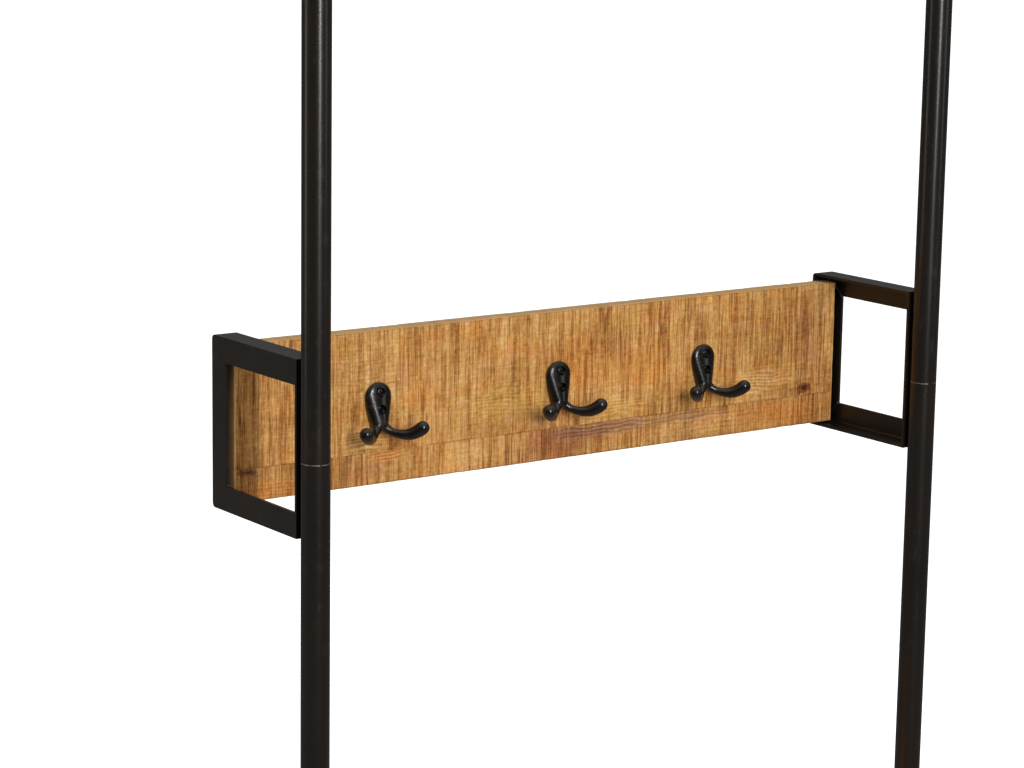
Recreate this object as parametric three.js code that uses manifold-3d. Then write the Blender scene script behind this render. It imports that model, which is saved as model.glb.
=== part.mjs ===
// A free-standing hall tree. Two round posts are joined at the top by a bent hoop, a bench of angle iron
// with a shoe shelf stands between them, and two welded brackets hold a wooden hook board behind them.
// Millimetres, +Z up, the front faces -Y, and the origin is on the floor under the middle.

import * as THREE from "three";
import { mergeVertices } from "three/addons/utils/BufferGeometryUtils.js";
import Module from "manifold-3d";

const MERGE_DISTANCE = 1e-4; // vertices nearer than this are one
const wasm = await Module();
wasm.setup();

// ---- Driving dimensions ------------------------------------------------------------------------------

// Whole object
const OVERALL_WIDTH = 800; // over the two posts
const OVERALL_HEIGHT = 1800; // to the top of the hoop
const FRAME_DEPTH = 344; // over the legs of the bench
const GAP = 0.3; // between two pieces that touch

// Posts and hoop
const POST_DIAMETER = 28;
const POST_WALL = 1.5;
const HOOP_BEND_RADIUS = 70; // at the tube's centre line
const HOOP_BEND_STEPS = 7;
const SEAM_HEIGHT = 1000; // where the lower post meets the hoop
const SPIGOT_LENGTH = 120;
const SPIGOT_WALL = 2.5;
const TUBE_SIDES = 28;

// Angle iron and flat bar
const ANGLE_LEG = 25;
const ANGLE_THICKNESS = 3;
const ANGLE_FILLET = 2; // in the inner corner
const FILLET_STEPS = 3;

// Brackets behind the posts
const BRACKET_DEPTH = 157; // front of the plate to the back of the rear flange
const BRACKET_BELOW_SEAM = 75;
const BRACKET_BOLT_RISE = 35; // bolt height above and below the seam

// Hook board, two planks glued edge to edge
const BOARD_THICKNESS = 20;
const LOWER_PLANK_HEIGHT = 33.5;
const UPPER_PLANK_HEIGHT = 124.2;
const BOARD_LIFT = 2.4; // above the bracket's bottom flange
const BOARD_TOP_GAP = 5.6; // between the board and the bracket's top flange
const BOARD_END_GAP = 8.2; // between the board's end and the bracket's side flange
const BOARD_SCREW_EDGE = 7; // screw centre to the board's end
const UPPER_BOARD_SCREW_DROP = 28; // below the board's top

// Hooks
const HOOKS = [
  { name: "hook_left", fromBracket: 175.9 },
  { name: "hook_middle", fromBracket: 400.3 },
  { name: "hook_right", fromBracket: 595.1 },
]; // fromBracket is measured from the outer face of the left bracket
const HOOK_SCREW_HEIGHT = 95.9; // upper screw above the board's bottom
const HOOK_SCREW_SPACING = 17;
const HOOK_PLATE_TOP = 9.8; // above the upper screw
const HOOK_PLATE_RADIUS = 14;
const HOOK_NECK_RADIUS = 8.5;
const HOOK_NECK_DROP = 25; // neck centre below the upper screw
const HOOK_PLATE_RIM = 2.5; // straight edge of the plate
const HOOK_PLATE_DOME = 4.5; // dome above the straight edge
const HOOK_DOME_RUN = 6.5; // width of the rounded edge
const HOOK_DOME_STEPS = 3;
const HOOK_OUTLINE_STEPS = 7;
const HOOK_BOSS_LIFT = 1; // of the boss at the arms' root above the neck's centre
const HOOK_BOSS_SIDES = 12;
const HOOK_BOSS_RINGS = 8;
const HOOK_ROOT_FORWARD = 4; // where the arms start, in front of the board
const ARM_SPLAY = 49; // degrees that each arm turns away from straight out
const ARM_ROOT_RADIUS = 3.9;
const ARM_BALL_RADIUS = 6.4;
const ARM_TAPER_POWER = 1.6; // over 1 keeps the arm slim near its root
const ARM_SIDES = 12;
const ARM_TAPER_STEPS = 8;
const ARM_CAP_STEPS = 4;
const ARM_ROUTE = [
  [0, -17],
  [7.5, -31],
  [18, -41.5],
  [31, -43.4],
  [39.5, -39.6],
  [44.4, -34.6],
]; // outwards from the plate's middle, and up from the upper screw; the last point is the ball's centre

// Screws of the hooks and the board
const SCREW_SHANK = 3.6;
const SCREW_HOLE = 4.4;
const SCREW_HEAD = 7.2;
const SCREW_HEAD_HEIGHT = 2.1;
const SCREW_RECESS = 8.2;
const SCREW_RECESS_DEPTH = 2.4;
const HOOK_SCREW_LENGTH = 18;
const BOARD_SCREW_LENGTH = 18;
const SCREW_TIP_ROOM = 1.5; // hole left beyond the end of a screw
const CROSS_SLOT = [3.8, 0.9, 1.1]; // length, width and depth of one slot of the cross recess
const SCREW_SIDES = 12;
const PAN_OUTLINE = [
  [1, 0.4],
  [0.7, 1],
]; // shares of the head's radius and height

// Bolts
const BOLT_SHANK = 6;
const BOLT_HOLE = 6.8;
const BOLT_HEAD = 11;
const BOLT_HEAD_HEIGHT = 3.3;
const BOLT_REACH = 6; // shank inside a tube beyond its wall
const SOCKET_ACROSS_CORNERS = 4.6;
const SOCKET_DEPTH = 2;
const BOLT_SIDES = 12;
const BUTTON_OUTLINE = [
  [1, 0.3],
  [0.8, 0.8],
  [0.5, 1],
]; // shares of the head's radius and height
const HEXAGON_SIDES = 6;

// Bench
const SEAT_FRAME_TOP = 448;
const SHELF_FRAME_TOP = 150;
const SEAT_PLANK_THICKNESS = 24;
const SHELF_PLANK_THICKNESS = 20;
const PLANKS_PER_LEVEL = 3;
const PLANK_SPACING = 0.4; // between two planks
const POST_BOLT_INSET = 40; // from the rails to the bolts of the flat bar

// Glides
const LEG_GLIDE_HEIGHT = 7.7;
const LEG_GLIDE_DIAMETER = 21;
const LEG_GLIDE_STUD = 7.4;
const LEG_GLIDE_STUD_LENGTH = 10;
const FOOT_PLATE_HOLE = 8;
const POST_GLIDE_HEIGHT = 6;
const POST_GLIDE_STEM = 18;
const GLIDE_CHAMFER = 1;
const GLIDE_SIDES = 16;

// ---- Sizes that follow from them ---------------------------------------------------------------------

const POST_RADIUS = POST_DIAMETER / 2;
const POST_BORE_RADIUS = POST_RADIUS - POST_WALL;
const POST_X = OVERALL_WIDTH / 2 - POST_RADIUS;
const BRACKET_OUTER_X = POST_X + ANGLE_LEG / 2;
const BRACKET_FRONT_Y = POST_RADIUS + GAP;
const BRACKET_REAR_Y = BRACKET_FRONT_Y + BRACKET_DEPTH;
const BRACKET_BOTTOM = SEAM_HEIGHT - BRACKET_BELOW_SEAM;
const BOARD_REAR_Y = BRACKET_REAR_Y - ANGLE_THICKNESS - GAP;
const BOARD_FRONT_Y = BOARD_REAR_Y - BOARD_THICKNESS;
const BOARD_BOTTOM = BRACKET_BOTTOM + ANGLE_THICKNESS + BOARD_LIFT;
const BOARD_TOP = BOARD_BOTTOM + LOWER_PLANK_HEIGHT + GAP + UPPER_PLANK_HEIGHT;
const BRACKET_TOP = BOARD_TOP + BOARD_TOP_GAP + ANGLE_THICKNESS;
const BRACKET_HEIGHT = BRACKET_TOP - BRACKET_BOTTOM;
const BOARD_HALF_LENGTH = BRACKET_OUTER_X - ANGLE_THICKNESS - BOARD_END_GAP;
const BOARD_SCREW_X = BOARD_HALF_LENGTH - BOARD_SCREW_EDGE;
const SPIGOT_RADIUS = POST_BORE_RADIUS - GAP;
const SIDE_OUTER_X = POST_X - POST_RADIUS - GAP;
const SIDE_INNER_X = SIDE_OUTER_X - ANGLE_THICKNESS;
const FRAME_FRONT = FRAME_DEPTH / 2;
const LEG_BOTTOM = LEG_GLIDE_HEIGHT + GAP;
const LEG_BOLT_X = SIDE_OUTER_X - ANGLE_LEG / 2;
const X_AXIS = new THREE.Vector3(1, 0, 0);
const Y_AXIS = new THREE.Vector3(0, 1, 0);
const Z_AXIS = new THREE.Vector3(0, 0, 1);
const LEFT = -1;
const RIGHT = 1;
const SIDES = [
  { word: "left", side: LEFT },
  { word: "right", side: RIGHT },
];
const ENDS = [
  { word: "front", end: -1 },
  { word: "rear", end: 1 },
];

// ---- Materials ---------------------------------------------------------------------------------------

const blackMetal = () => new THREE.MeshStandardMaterial({ color: 0x1c1a18, roughness: 0.45, metalness: 0.4 });
const castIron = () => new THREE.MeshStandardMaterial({ color: 0x191613, roughness: 0.32, metalness: 0.5 });
const blackScrew = () => new THREE.MeshStandardMaterial({ color: 0x24211f, roughness: 0.35, metalness: 0.8 });
const zincSteel = () => new THREE.MeshStandardMaterial({ color: 0x8d9094, roughness: 0.4, metalness: 0.9 });
const roughWood = () => new THREE.MeshStandardMaterial({ color: 0xb98a52, roughness: 0.75, metalness: 0 });
const blackPlastic = () => new THREE.MeshStandardMaterial({ color: 0x151515, roughness: 0.7, metalness: 0 });

// ---- Solids ------------------------------------------------------------------------------------------

/** A closed geometry as a solid for joining and cutting. */
function toSolid(geometry) {
  const bare = geometry.index ? geometry.toNonIndexed() : geometry.clone();
  bare.deleteAttribute("normal");
  bare.deleteAttribute("uv");
  const merged = mergeVertices(bare, MERGE_DISTANCE);
  return new wasm.Manifold(
    new wasm.Mesh({
      numProp: 3,
      vertProperties: merged.attributes.position.array,
      triVerts: new Uint32Array(merged.index.array),
    }),
  );
}

/** A solid as a geometry with flat-shaded faces. */
function toGeometry(solid) {
  const mesh = solid.getMesh();
  const positions = new Float32Array(mesh.numVert * 3);
  for (let vertex = 0; vertex < mesh.numVert; vertex++) {
    const start = vertex * mesh.numProp;
    positions.set(mesh.vertProperties.subarray(start, start + 3), vertex * 3);
  }
  const geometry = new THREE.BufferGeometry();
  geometry.setAttribute("position", new THREE.BufferAttribute(positions, 3));
  geometry.setIndex(new THREE.BufferAttribute(new Uint32Array(mesh.triVerts), 1));
  const faceted = geometry.toNonIndexed();
  faceted.computeVertexNormals();
  return faceted;
}

/** The geometries joined, less the cutters. */
function shaped(geometries, cutters = []) {
  const [first, ...others] = geometries.map(toSolid);
  const joined = others.reduce((solid, other) => solid.add(other), first);
  const cut = cutters.map(toSolid).reduce((solid, cutter) => solid.subtract(cutter), joined);
  return toGeometry(cut);
}

/** A box between two corners, given in any order on each axis. */
function boxBetween(from, to) {
  const size = from.map((value, axis) => Math.abs(to[axis] - value));
  const middle = from.map((value, axis) => (to[axis] + value) / 2);
  return new THREE.BoxGeometry(...size).translate(...middle);
}

/** Turns a geometry made along +Z so that it points along a direction, and moves it to a point. */
function aimed(geometry, direction, point) {
  const turn = new THREE.Quaternion().setFromUnitVectors(Z_AXIS, direction);
  return geometry.applyQuaternion(turn).translate(point.x, point.y, point.z);
}

/** A round cutter or rod from a point, along a direction. */
function rodFrom(point, direction, radius, length, sides) {
  const rod = new THREE.CylinderGeometry(radius, radius, length, sides);
  rod.rotateX(Math.PI / 2).translate(0, 0, length / 2);
  return aimed(rod, direction, point);
}

/** A solid of revolution about +Z from [radius, height] points that start and end on the axis. */
function turned(profile, sides) {
  const points = profile.map(([radius, height]) => new THREE.Vector2(radius, height));
  return new THREE.LatheGeometry(points, sides).rotateX(Math.PI / 2);
}

/** A straight hollow tube along +Z, from one height to another. */
function straightTube(outerRadius, boreRadius, bottom, top) {
  const points = [
    [outerRadius, bottom],
    [outerRadius, top],
    [boreRadius, top],
    [boreRadius, bottom],
    [outerRadius, bottom],
  ];
  return turned(points, TUBE_SIDES);
}

/**
 * An angle-iron bar. The outer corner runs from a point along a direction; one flange points along
 * each of two directions square to it.
 */
function angleBar(corner, along, length, flangeOne, flangeTwo) {
  const outline = new THREE.Shape();
  outline.moveTo(0, 0);
  outline.lineTo(ANGLE_LEG, 0);
  outline.lineTo(ANGLE_LEG, ANGLE_THICKNESS);
  const filletCentre = ANGLE_THICKNESS + ANGLE_FILLET;
  outline.absarc(filletCentre, filletCentre, ANGLE_FILLET, -Math.PI / 2, Math.PI, true);
  outline.lineTo(ANGLE_THICKNESS, ANGLE_LEG);
  outline.lineTo(0, ANGLE_LEG);
  outline.closePath();
  const bar = new THREE.ExtrudeGeometry(outline, {
    depth: length,
    bevelEnabled: false,
    curveSegments: FILLET_STEPS,
  });
  const rightHanded = new THREE.Vector3().crossVectors(flangeOne, flangeTwo).dot(along) > 0;
  const first = rightHanded ? flangeOne : flangeTwo;
  const second = rightHanded ? flangeTwo : flangeOne;
  const placement = new THREE.Matrix4().makeBasis(first, second, along);
  placement.setPosition(corner);
  return bar.applyMatrix4(placement);
}

/** A distance as a share of a route's length, from 0 to 1 whatever the rounding of a vertex. */
function shareOf(distance, length) {
  return THREE.MathUtils.clamp(distance / length, 0, 1);
}

/**
 * Bends a geometry made along +Y onto a flat route. The route gives a point and a direction for each
 * distance, in a plane whose axes are `across` and +Z.
 */
function bentAlong(geometry, routeAt, across) {
  const binormal = new THREE.Vector3().crossVectors(Z_AXIS, across);
  const position = geometry.getAttribute("position");
  const vertex = new THREE.Vector3();
  for (let index = 0; index < position.count; index++) {
    vertex.fromBufferAttribute(position, index);
    const { point, heading } = routeAt(vertex.y);
    const bent = new THREE.Vector3();
    bent.addScaledVector(across, point.x - heading.y * vertex.x);
    bent.addScaledVector(Z_AXIS, point.y + heading.x * vertex.x);
    bent.addScaledVector(binormal, vertex.z);
    position.setXYZ(index, bent.x, bent.y, bent.z);
  }
  return geometry;
}

/** A named mesh at a place. */
function piece(name, geometry, material, place = new THREE.Vector3()) {
  const mesh = new THREE.Mesh(geometry, material);
  mesh.name = name;
  mesh.position.copy(place);
  return mesh;
}

// ---- Fasteners ---------------------------------------------------------------------------------------

/** A button-head bolt with a hexagon socket, its bearing face at the origin and its shank towards -Z. */
function buttonBolt(shankLength) {
  const shank = BOLT_SHANK / 2;
  const head = BOLT_HEAD / 2;
  const body = turned(
    [
      [0, -shankLength],
      [shank, -shankLength],
      [shank, 0],
      [head, 0],
      ...BUTTON_OUTLINE.map(([out, up]) => [head * out, BOLT_HEAD_HEIGHT * up]),
      [0, BOLT_HEAD_HEIGHT],
    ],
    BOLT_SIDES,
  );
  const socketFloor = new THREE.Vector3(0, 0, BOLT_HEAD_HEIGHT - SOCKET_DEPTH);
  const socket = rodFrom(socketFloor, Z_AXIS, SOCKET_ACROSS_CORNERS / 2, BOLT_HEAD_HEIGHT, HEXAGON_SIDES);
  return shaped([body], [socket]);
}

/** A pan-head wood screw with a cross recess, its bearing face at the origin and its point towards -Z. */
function panScrew(shankLength) {
  const shank = SCREW_SHANK / 2;
  const head = SCREW_HEAD / 2;
  const body = turned(
    [
      [0, -shankLength],
      [shank, -shankLength + SCREW_SHANK],
      [shank, 0],
      [head, 0],
      ...PAN_OUTLINE.map(([out, up]) => [head * out, SCREW_HEAD_HEIGHT * up]),
      [0, SCREW_HEAD_HEIGHT],
    ],
    SCREW_SIDES,
  );
  const [slotLength, slotWidth, slotDepth] = CROSS_SLOT;
  const slotMiddle = SCREW_HEAD_HEIGHT;
  const slots = [
    new THREE.BoxGeometry(slotLength, slotWidth, 2 * slotDepth).translate(0, 0, slotMiddle),
    new THREE.BoxGeometry(slotWidth, slotLength, 2 * slotDepth).translate(0, 0, slotMiddle),
  ];
  return shaped([body], slots);
}

/** A fastener placed with its head's bearing face at a point and its head towards a direction. */
function fastener(name, geometry, material, point, headDirection) {
  const mesh = piece(name, geometry, material, point);
  mesh.quaternion.setFromUnitVectors(Z_AXIS, headDirection);
  return mesh;
}

// ---- Posts and hoop ----------------------------------------------------------------------------------

const bracketBoltHeights = { upper: SEAM_HEIGHT + BRACKET_BOLT_RISE, lower: SEAM_HEIGHT - BRACKET_BOLT_RISE };
const postBoltHeights = {
  upper: SEAT_FRAME_TOP - ANGLE_LEG - POST_BOLT_INSET,
  lower: SHELF_FRAME_TOP + POST_BOLT_INSET,
};

/** A hole from a post's centre line outwards, for a bolt. */
function postHole(x, height, direction) {
  const centre = new THREE.Vector3(x, 0, height);
  return rodFrom(centre, direction, BOLT_HOLE / 2, POST_DIAMETER, BOLT_SIDES);
}

function makeHoop() {
  const bottom = SEAM_HEIGHT + GAP / 2;
  const top = OVERALL_HEIGHT - POST_RADIUS;
  const bendHeight = top - HOOP_BEND_RADIUS;
  const bendX = POST_X - HOOP_BEND_RADIUS;
  const route = new THREE.Path();
  route.moveTo(-POST_X, bottom);
  route.lineTo(-POST_X, bendHeight);
  route.absarc(-bendX, bendHeight, HOOP_BEND_RADIUS, Math.PI, Math.PI / 2, true);
  route.lineTo(bendX, top);
  route.absarc(bendX, bendHeight, HOOP_BEND_RADIUS, Math.PI / 2, 0, true);
  route.lineTo(POST_X, bottom);
  const [riseEnd, firstBendEnd, spanEnd, secondBendEnd, length] = route.getCurveLengths();
  const stations = [0];
  for (let step = 0; step <= HOOP_BEND_STEPS; step++) {
    stations.push(THREE.MathUtils.lerp(riseEnd, firstBendEnd, step / HOOP_BEND_STEPS));
  }
  for (let step = 0; step <= HOOP_BEND_STEPS; step++) {
    stations.push(THREE.MathUtils.lerp(spanEnd, secondBendEnd, step / HOOP_BEND_STEPS));
  }
  stations.push(length);
  const profile = stations.map((station) => new THREE.Vector2(POST_RADIUS, station));
  profile.push(...stations.toReversed().map((station) => new THREE.Vector2(POST_BORE_RADIUS, station)));
  profile.push(profile[0].clone());
  const straight = new THREE.LatheGeometry(profile, TUBE_SIDES);
  const routeAt = (distance) => ({
    point: route.getPoint(shareOf(distance, length)),
    heading: route.getTangent(shareOf(distance, length)),
  });
  const tube = bentAlong(straight, routeAt, X_AXIS);
  const holes = SIDES.map(({ side }) => postHole(side * POST_X, bracketBoltHeights.upper, Y_AXIS));
  return piece("upper_hoop", shaped([tube], holes), blackMetal());
}

function makeLowerPost({ word, side }) {
  const bottom = POST_GLIDE_HEIGHT + GAP;
  const tube = straightTube(POST_RADIUS, POST_BORE_RADIUS, bottom, SEAM_HEIGHT - GAP / 2);
  const inboard = X_AXIS.clone().multiplyScalar(-side);
  const holes = [
    postHole(0, bracketBoltHeights.lower, Y_AXIS),
    postHole(0, postBoltHeights.upper, inboard),
    postHole(0, postBoltHeights.lower, inboard),
  ];
  const place = new THREE.Vector3(side * POST_X, 0, 0);
  return piece("lower_post_" + word, shaped([tube], holes), blackMetal(), place);
}

function makeSpigot({ word, side }) {
  const halfLength = SPIGOT_LENGTH / 2;
  const tube = straightTube(SPIGOT_RADIUS, SPIGOT_RADIUS - SPIGOT_WALL, -halfLength, halfLength);
  const holes = [postHole(0, BRACKET_BOLT_RISE, Y_AXIS), postHole(0, -BRACKET_BOLT_RISE, Y_AXIS)];
  const place = new THREE.Vector3(side * POST_X, 0, SEAM_HEIGHT);
  return piece("post_spigot_" + word, shaped([tube], holes), zincSteel(), place);
}

function makePostGlide({ word, side }) {
  const foot = turned(
    [
      [0, 0],
      [POST_RADIUS - GLIDE_CHAMFER, 0],
      [POST_RADIUS, GLIDE_CHAMFER],
      [POST_RADIUS, POST_GLIDE_HEIGHT],
      [POST_BORE_RADIUS - GAP, POST_GLIDE_HEIGHT],
      [POST_BORE_RADIUS - GAP, POST_GLIDE_HEIGHT + POST_GLIDE_STEM],
      [0, POST_GLIDE_HEIGHT + POST_GLIDE_STEM],
    ],
    GLIDE_SIDES,
  );
  return piece("post_glide_" + word, foot, blackPlastic(), new THREE.Vector3(side * POST_X, 0, 0));
}

// ---- Brackets ----------------------------------------------------------------------------------------

const boardScrewHeights = {
  upper: BOARD_TOP - UPPER_BOARD_SCREW_DROP,
  lower: BOARD_BOTTOM + LOWER_PLANK_HEIGHT / 2,
};

function makeBracket({ word, side }) {
  const outer = side * BRACKET_OUTER_X;
  const inboard = X_AXIS.clone().multiplyScalar(-side);
  const up = Z_AXIS;
  const down = Z_AXIS.clone().negate();
  const forwards = Y_AXIS.clone().negate();
  const front = BRACKET_FRONT_Y;
  const bottomCorner = new THREE.Vector3(outer, front, BRACKET_BOTTOM);
  const bottomBar = angleBar(bottomCorner, Y_AXIS, BRACKET_DEPTH, inboard, up);
  const topCorner = new THREE.Vector3(outer, front, BRACKET_TOP);
  const topBar = angleBar(topCorner, Y_AXIS, BRACKET_DEPTH, inboard, down);
  const rearCorner = new THREE.Vector3(outer, BRACKET_REAR_Y, BRACKET_BOTTOM);
  const rearBar = angleBar(rearCorner, Z_AXIS, BRACKET_HEIGHT, inboard, forwards);
  const frontPlate = boxBetween(
    [outer, front, BRACKET_BOTTOM],
    [outer - side * ANGLE_LEG, front + ANGLE_THICKNESS, BRACKET_TOP],
  );
  const plateHoles = Object.values(bracketBoltHeights).map((height) => {
    const postCentre = new THREE.Vector3(side * POST_X, 0, height);
    return rodFrom(postCentre, Y_AXIS, BOLT_HOLE / 2, 2 * POST_DIAMETER, BOLT_SIDES);
  });
  const screwHoles = Object.values(boardScrewHeights).map((height) => {
    const boardBack = new THREE.Vector3(side * BOARD_SCREW_X, BOARD_REAR_Y, height);
    return rodFrom(boardBack, Y_AXIS, SCREW_HOLE / 2, 2 * ANGLE_THICKNESS, SCREW_SIDES);
  });
  const frame = shaped([bottomBar, topBar, rearBar, frontPlate], [...plateHoles, ...screwHoles]);
  return piece("bracket_" + word, frame, blackMetal());
}

function makeBracketBolts({ word, side }) {
  const shank = GAP + ANGLE_THICKNESS + GAP + POST_WALL + GAP + SPIGOT_WALL + BOLT_REACH;
  return Object.entries(bracketBoltHeights).map(([level, height]) => {
    const point = new THREE.Vector3(side * POST_X, BRACKET_FRONT_Y + ANGLE_THICKNESS + GAP, height);
    return fastener(`bracket_bolt_${word}_${level}`, buttonBolt(shank), blackScrew(), point, Y_AXIS);
  });
}

function makeBoardScrews({ word, side }) {
  return Object.entries(boardScrewHeights).map(([level, height]) => {
    const point = new THREE.Vector3(side * BOARD_SCREW_X, BRACKET_REAR_Y + GAP, height);
    const screw = panScrew(BOARD_SCREW_LENGTH);
    return fastener(`board_screw_${word}_${level}`, screw, blackScrew(), point, Y_AXIS);
  });
}

// ---- Hook board and hooks ----------------------------------------------------------------------------

const hookScrewHeight = BOARD_BOTTOM + HOOK_SCREW_HEIGHT;
const hookX = (hook) => -BRACKET_OUTER_X + hook.fromBracket;
const hookScrewDrops = { upper: 0, lower: -HOOK_SCREW_SPACING };
const hookScrewSeat = HOOK_PLATE_RIM + HOOK_PLATE_DOME - SCREW_RECESS_DEPTH + GAP;

/** Blind holes for the screws of a plank that lies between two heights. */
function plankHoles(bottom, top) {
  const holes = [];
  const hookHoleDepth = HOOK_SCREW_LENGTH - hookScrewSeat + SCREW_TIP_ROOM;
  const boardHoleDepth = BOARD_SCREW_LENGTH - ANGLE_THICKNESS - GAP + SCREW_TIP_ROOM;
  const backwards = Y_AXIS;
  const forwards = Y_AXIS.clone().negate();
  const inPlank = (height) => height > bottom && height < top;
  for (const hook of HOOKS) {
    for (const drop of Object.values(hookScrewDrops)) {
      const height = hookScrewHeight + drop;
      const mouth = new THREE.Vector3(hookX(hook), BOARD_FRONT_Y - GAP, height);
      if (inPlank(height)) {
        holes.push(rodFrom(mouth, backwards, SCREW_HOLE / 2, hookHoleDepth, SCREW_SIDES));
      }
    }
  }
  for (const { side } of SIDES) {
    for (const height of Object.values(boardScrewHeights)) {
      const mouth = new THREE.Vector3(side * BOARD_SCREW_X, BOARD_REAR_Y + GAP, height);
      if (inPlank(height)) {
        holes.push(rodFrom(mouth, forwards, SCREW_HOLE / 2, boardHoleDepth, SCREW_SIDES));
      }
    }
  }
  return holes;
}

function makeBoardPlank(name, bottom, height) {
  const top = bottom + height;
  const blank = boxBetween(
    [-BOARD_HALF_LENGTH, BOARD_FRONT_Y, bottom],
    [BOARD_HALF_LENGTH, BOARD_REAR_Y, top],
  );
  return piece(name, shaped([blank], plankHoles(bottom, top)), roughWood());
}

/** The egg-shaped back plate of a hook with its rounded edge, flat at the back (y = 0). */
function hookPlate() {
  const plateCentre = HOOK_PLATE_TOP - HOOK_PLATE_RADIUS;
  const rise = plateCentre + HOOK_NECK_DROP;
  const lean = Math.asin((HOOK_PLATE_RADIUS - HOOK_NECK_RADIUS) / rise);
  const outline = new THREE.Shape();
  outline.absarc(0, plateCentre, HOOK_PLATE_RADIUS, -lean, Math.PI + lean, false);
  outline.absarc(0, -HOOK_NECK_DROP, HOOK_NECK_RADIUS, Math.PI + lean, 2 * Math.PI - lean, false);
  outline.closePath();
  const plate = new THREE.ExtrudeGeometry(outline, {
    depth: HOOK_PLATE_RIM,
    bevelEnabled: true,
    bevelThickness: HOOK_PLATE_DOME,
    bevelSize: HOOK_DOME_RUN,
    bevelOffset: -HOOK_DOME_RUN,
    bevelSegments: HOOK_DOME_STEPS,
    curveSegments: HOOK_OUTLINE_STEPS,
  });
  return plate.rotateX(Math.PI / 2);
}

/** One arm: a club that thickens to a ball, bent down and up again in an upright plane. */
function hookArm(side) {
  const points = ARM_ROUTE.map(([out, up]) => new THREE.Vector2(out, up));
  const ballCentre = points.at(-1);
  const lastStep = ballCentre.clone().sub(points.at(-2)).setLength(ARM_BALL_RADIUS);
  points.push(ballCentre.clone().add(lastStep));
  const route = new THREE.SplineCurve(points);
  const length = route.getLength();
  const ballAt = length - ARM_BALL_RADIUS;
  const profile = [new THREE.Vector2(0, 0)];
  for (let step = 0; step < ARM_TAPER_STEPS; step++) {
    const share = step / ARM_TAPER_STEPS;
    const radius = THREE.MathUtils.lerp(ARM_ROOT_RADIUS, ARM_BALL_RADIUS, share ** ARM_TAPER_POWER);
    profile.push(new THREE.Vector2(radius, share * ballAt));
  }
  for (let step = 0; step < ARM_CAP_STEPS; step++) {
    const angle = (step / ARM_CAP_STEPS) * (Math.PI / 2);
    const radius = ARM_BALL_RADIUS * Math.cos(angle);
    profile.push(new THREE.Vector2(radius, ballAt + ARM_BALL_RADIUS * Math.sin(angle)));
  }
  profile.push(new THREE.Vector2(0, length));
  const routeAt = (distance) => ({
    point: route.getPointAt(shareOf(distance, length)),
    heading: route.getTangentAt(shareOf(distance, length)),
  });
  const splay = THREE.MathUtils.degToRad(ARM_SPLAY);
  const across = new THREE.Vector3(side * Math.sin(splay), -Math.cos(splay), 0);
  const club = bentAlong(new THREE.LatheGeometry(profile, ARM_SIDES), routeAt, across);
  return club.translate(0, -HOOK_ROOT_FORWARD, 0);
}

/** The whole casting: plate, neck boss and two arms, with recessed screw holes. */
function hookCasting() {
  const bossSize = [HOOK_NECK_RADIUS, HOOK_PLATE_RIM + HOOK_PLATE_DOME, HOOK_NECK_RADIUS];
  const boss = new THREE.SphereGeometry(1, HOOK_BOSS_SIDES, HOOK_BOSS_RINGS).scale(...bossSize);
  boss.translate(0, 0, HOOK_BOSS_LIFT - HOOK_NECK_DROP);
  const reach = 2 * HOOK_PLATE_RADIUS;
  const behind = boxBetween([-reach, 0, -2 * reach], [reach, reach, reach]);
  const plateFront = HOOK_PLATE_RIM + HOOK_PLATE_DOME;
  const cutters = [behind];
  for (const drop of Object.values(hookScrewDrops)) {
    const back = new THREE.Vector3(0, GAP, drop);
    const seat = new THREE.Vector3(0, -(plateFront - SCREW_RECESS_DEPTH), drop);
    const outwards = Y_AXIS.clone().negate();
    cutters.push(rodFrom(back, outwards, SCREW_HOLE / 2, plateFront, SCREW_SIDES));
    cutters.push(rodFrom(seat, outwards, SCREW_RECESS / 2, plateFront, SCREW_SIDES));
  }
  return shaped([hookPlate(), boss, hookArm(LEFT), hookArm(RIGHT)], cutters);
}

function makeHook(hook, casting) {
  const group = new THREE.Group();
  group.position.set(hookX(hook), BOARD_FRONT_Y - GAP, hookScrewHeight);
  group.add(piece(hook.name, casting, castIron()));
  const outwards = Y_AXIS.clone().negate();
  for (const [level, drop] of Object.entries(hookScrewDrops)) {
    const point = new THREE.Vector3(0, -hookScrewSeat, drop);
    const screw = panScrew(HOOK_SCREW_LENGTH);
    group.add(fastener(`${hook.name}_screw_${level}`, screw, blackScrew(), point, outwards));
  }
  return group;
}

// ---- Bench -------------------------------------------------------------------------------------------

const railLevels = [
  { word: "seat", top: SEAT_FRAME_TOP, plankThickness: SEAT_PLANK_THICKNESS },
  { word: "shelf", top: SHELF_FRAME_TOP, plankThickness: SHELF_PLANK_THICKNESS },
];
const railBoltHeight = (level) => level.top - ANGLE_LEG / 2;

/** A hole through a leg's flange and a long rail's flange, for the bolt that joins them. */
function railBoltHole(x, end, height) {
  const outside = new THREE.Vector3(x, end * (FRAME_FRONT + ANGLE_THICKNESS), height);
  const inwards = Y_AXIS.clone().multiplyScalar(-end);
  return rodFrom(outside, inwards, BOLT_HOLE / 2, 4 * ANGLE_THICKNESS, BOLT_SIDES);
}

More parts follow.
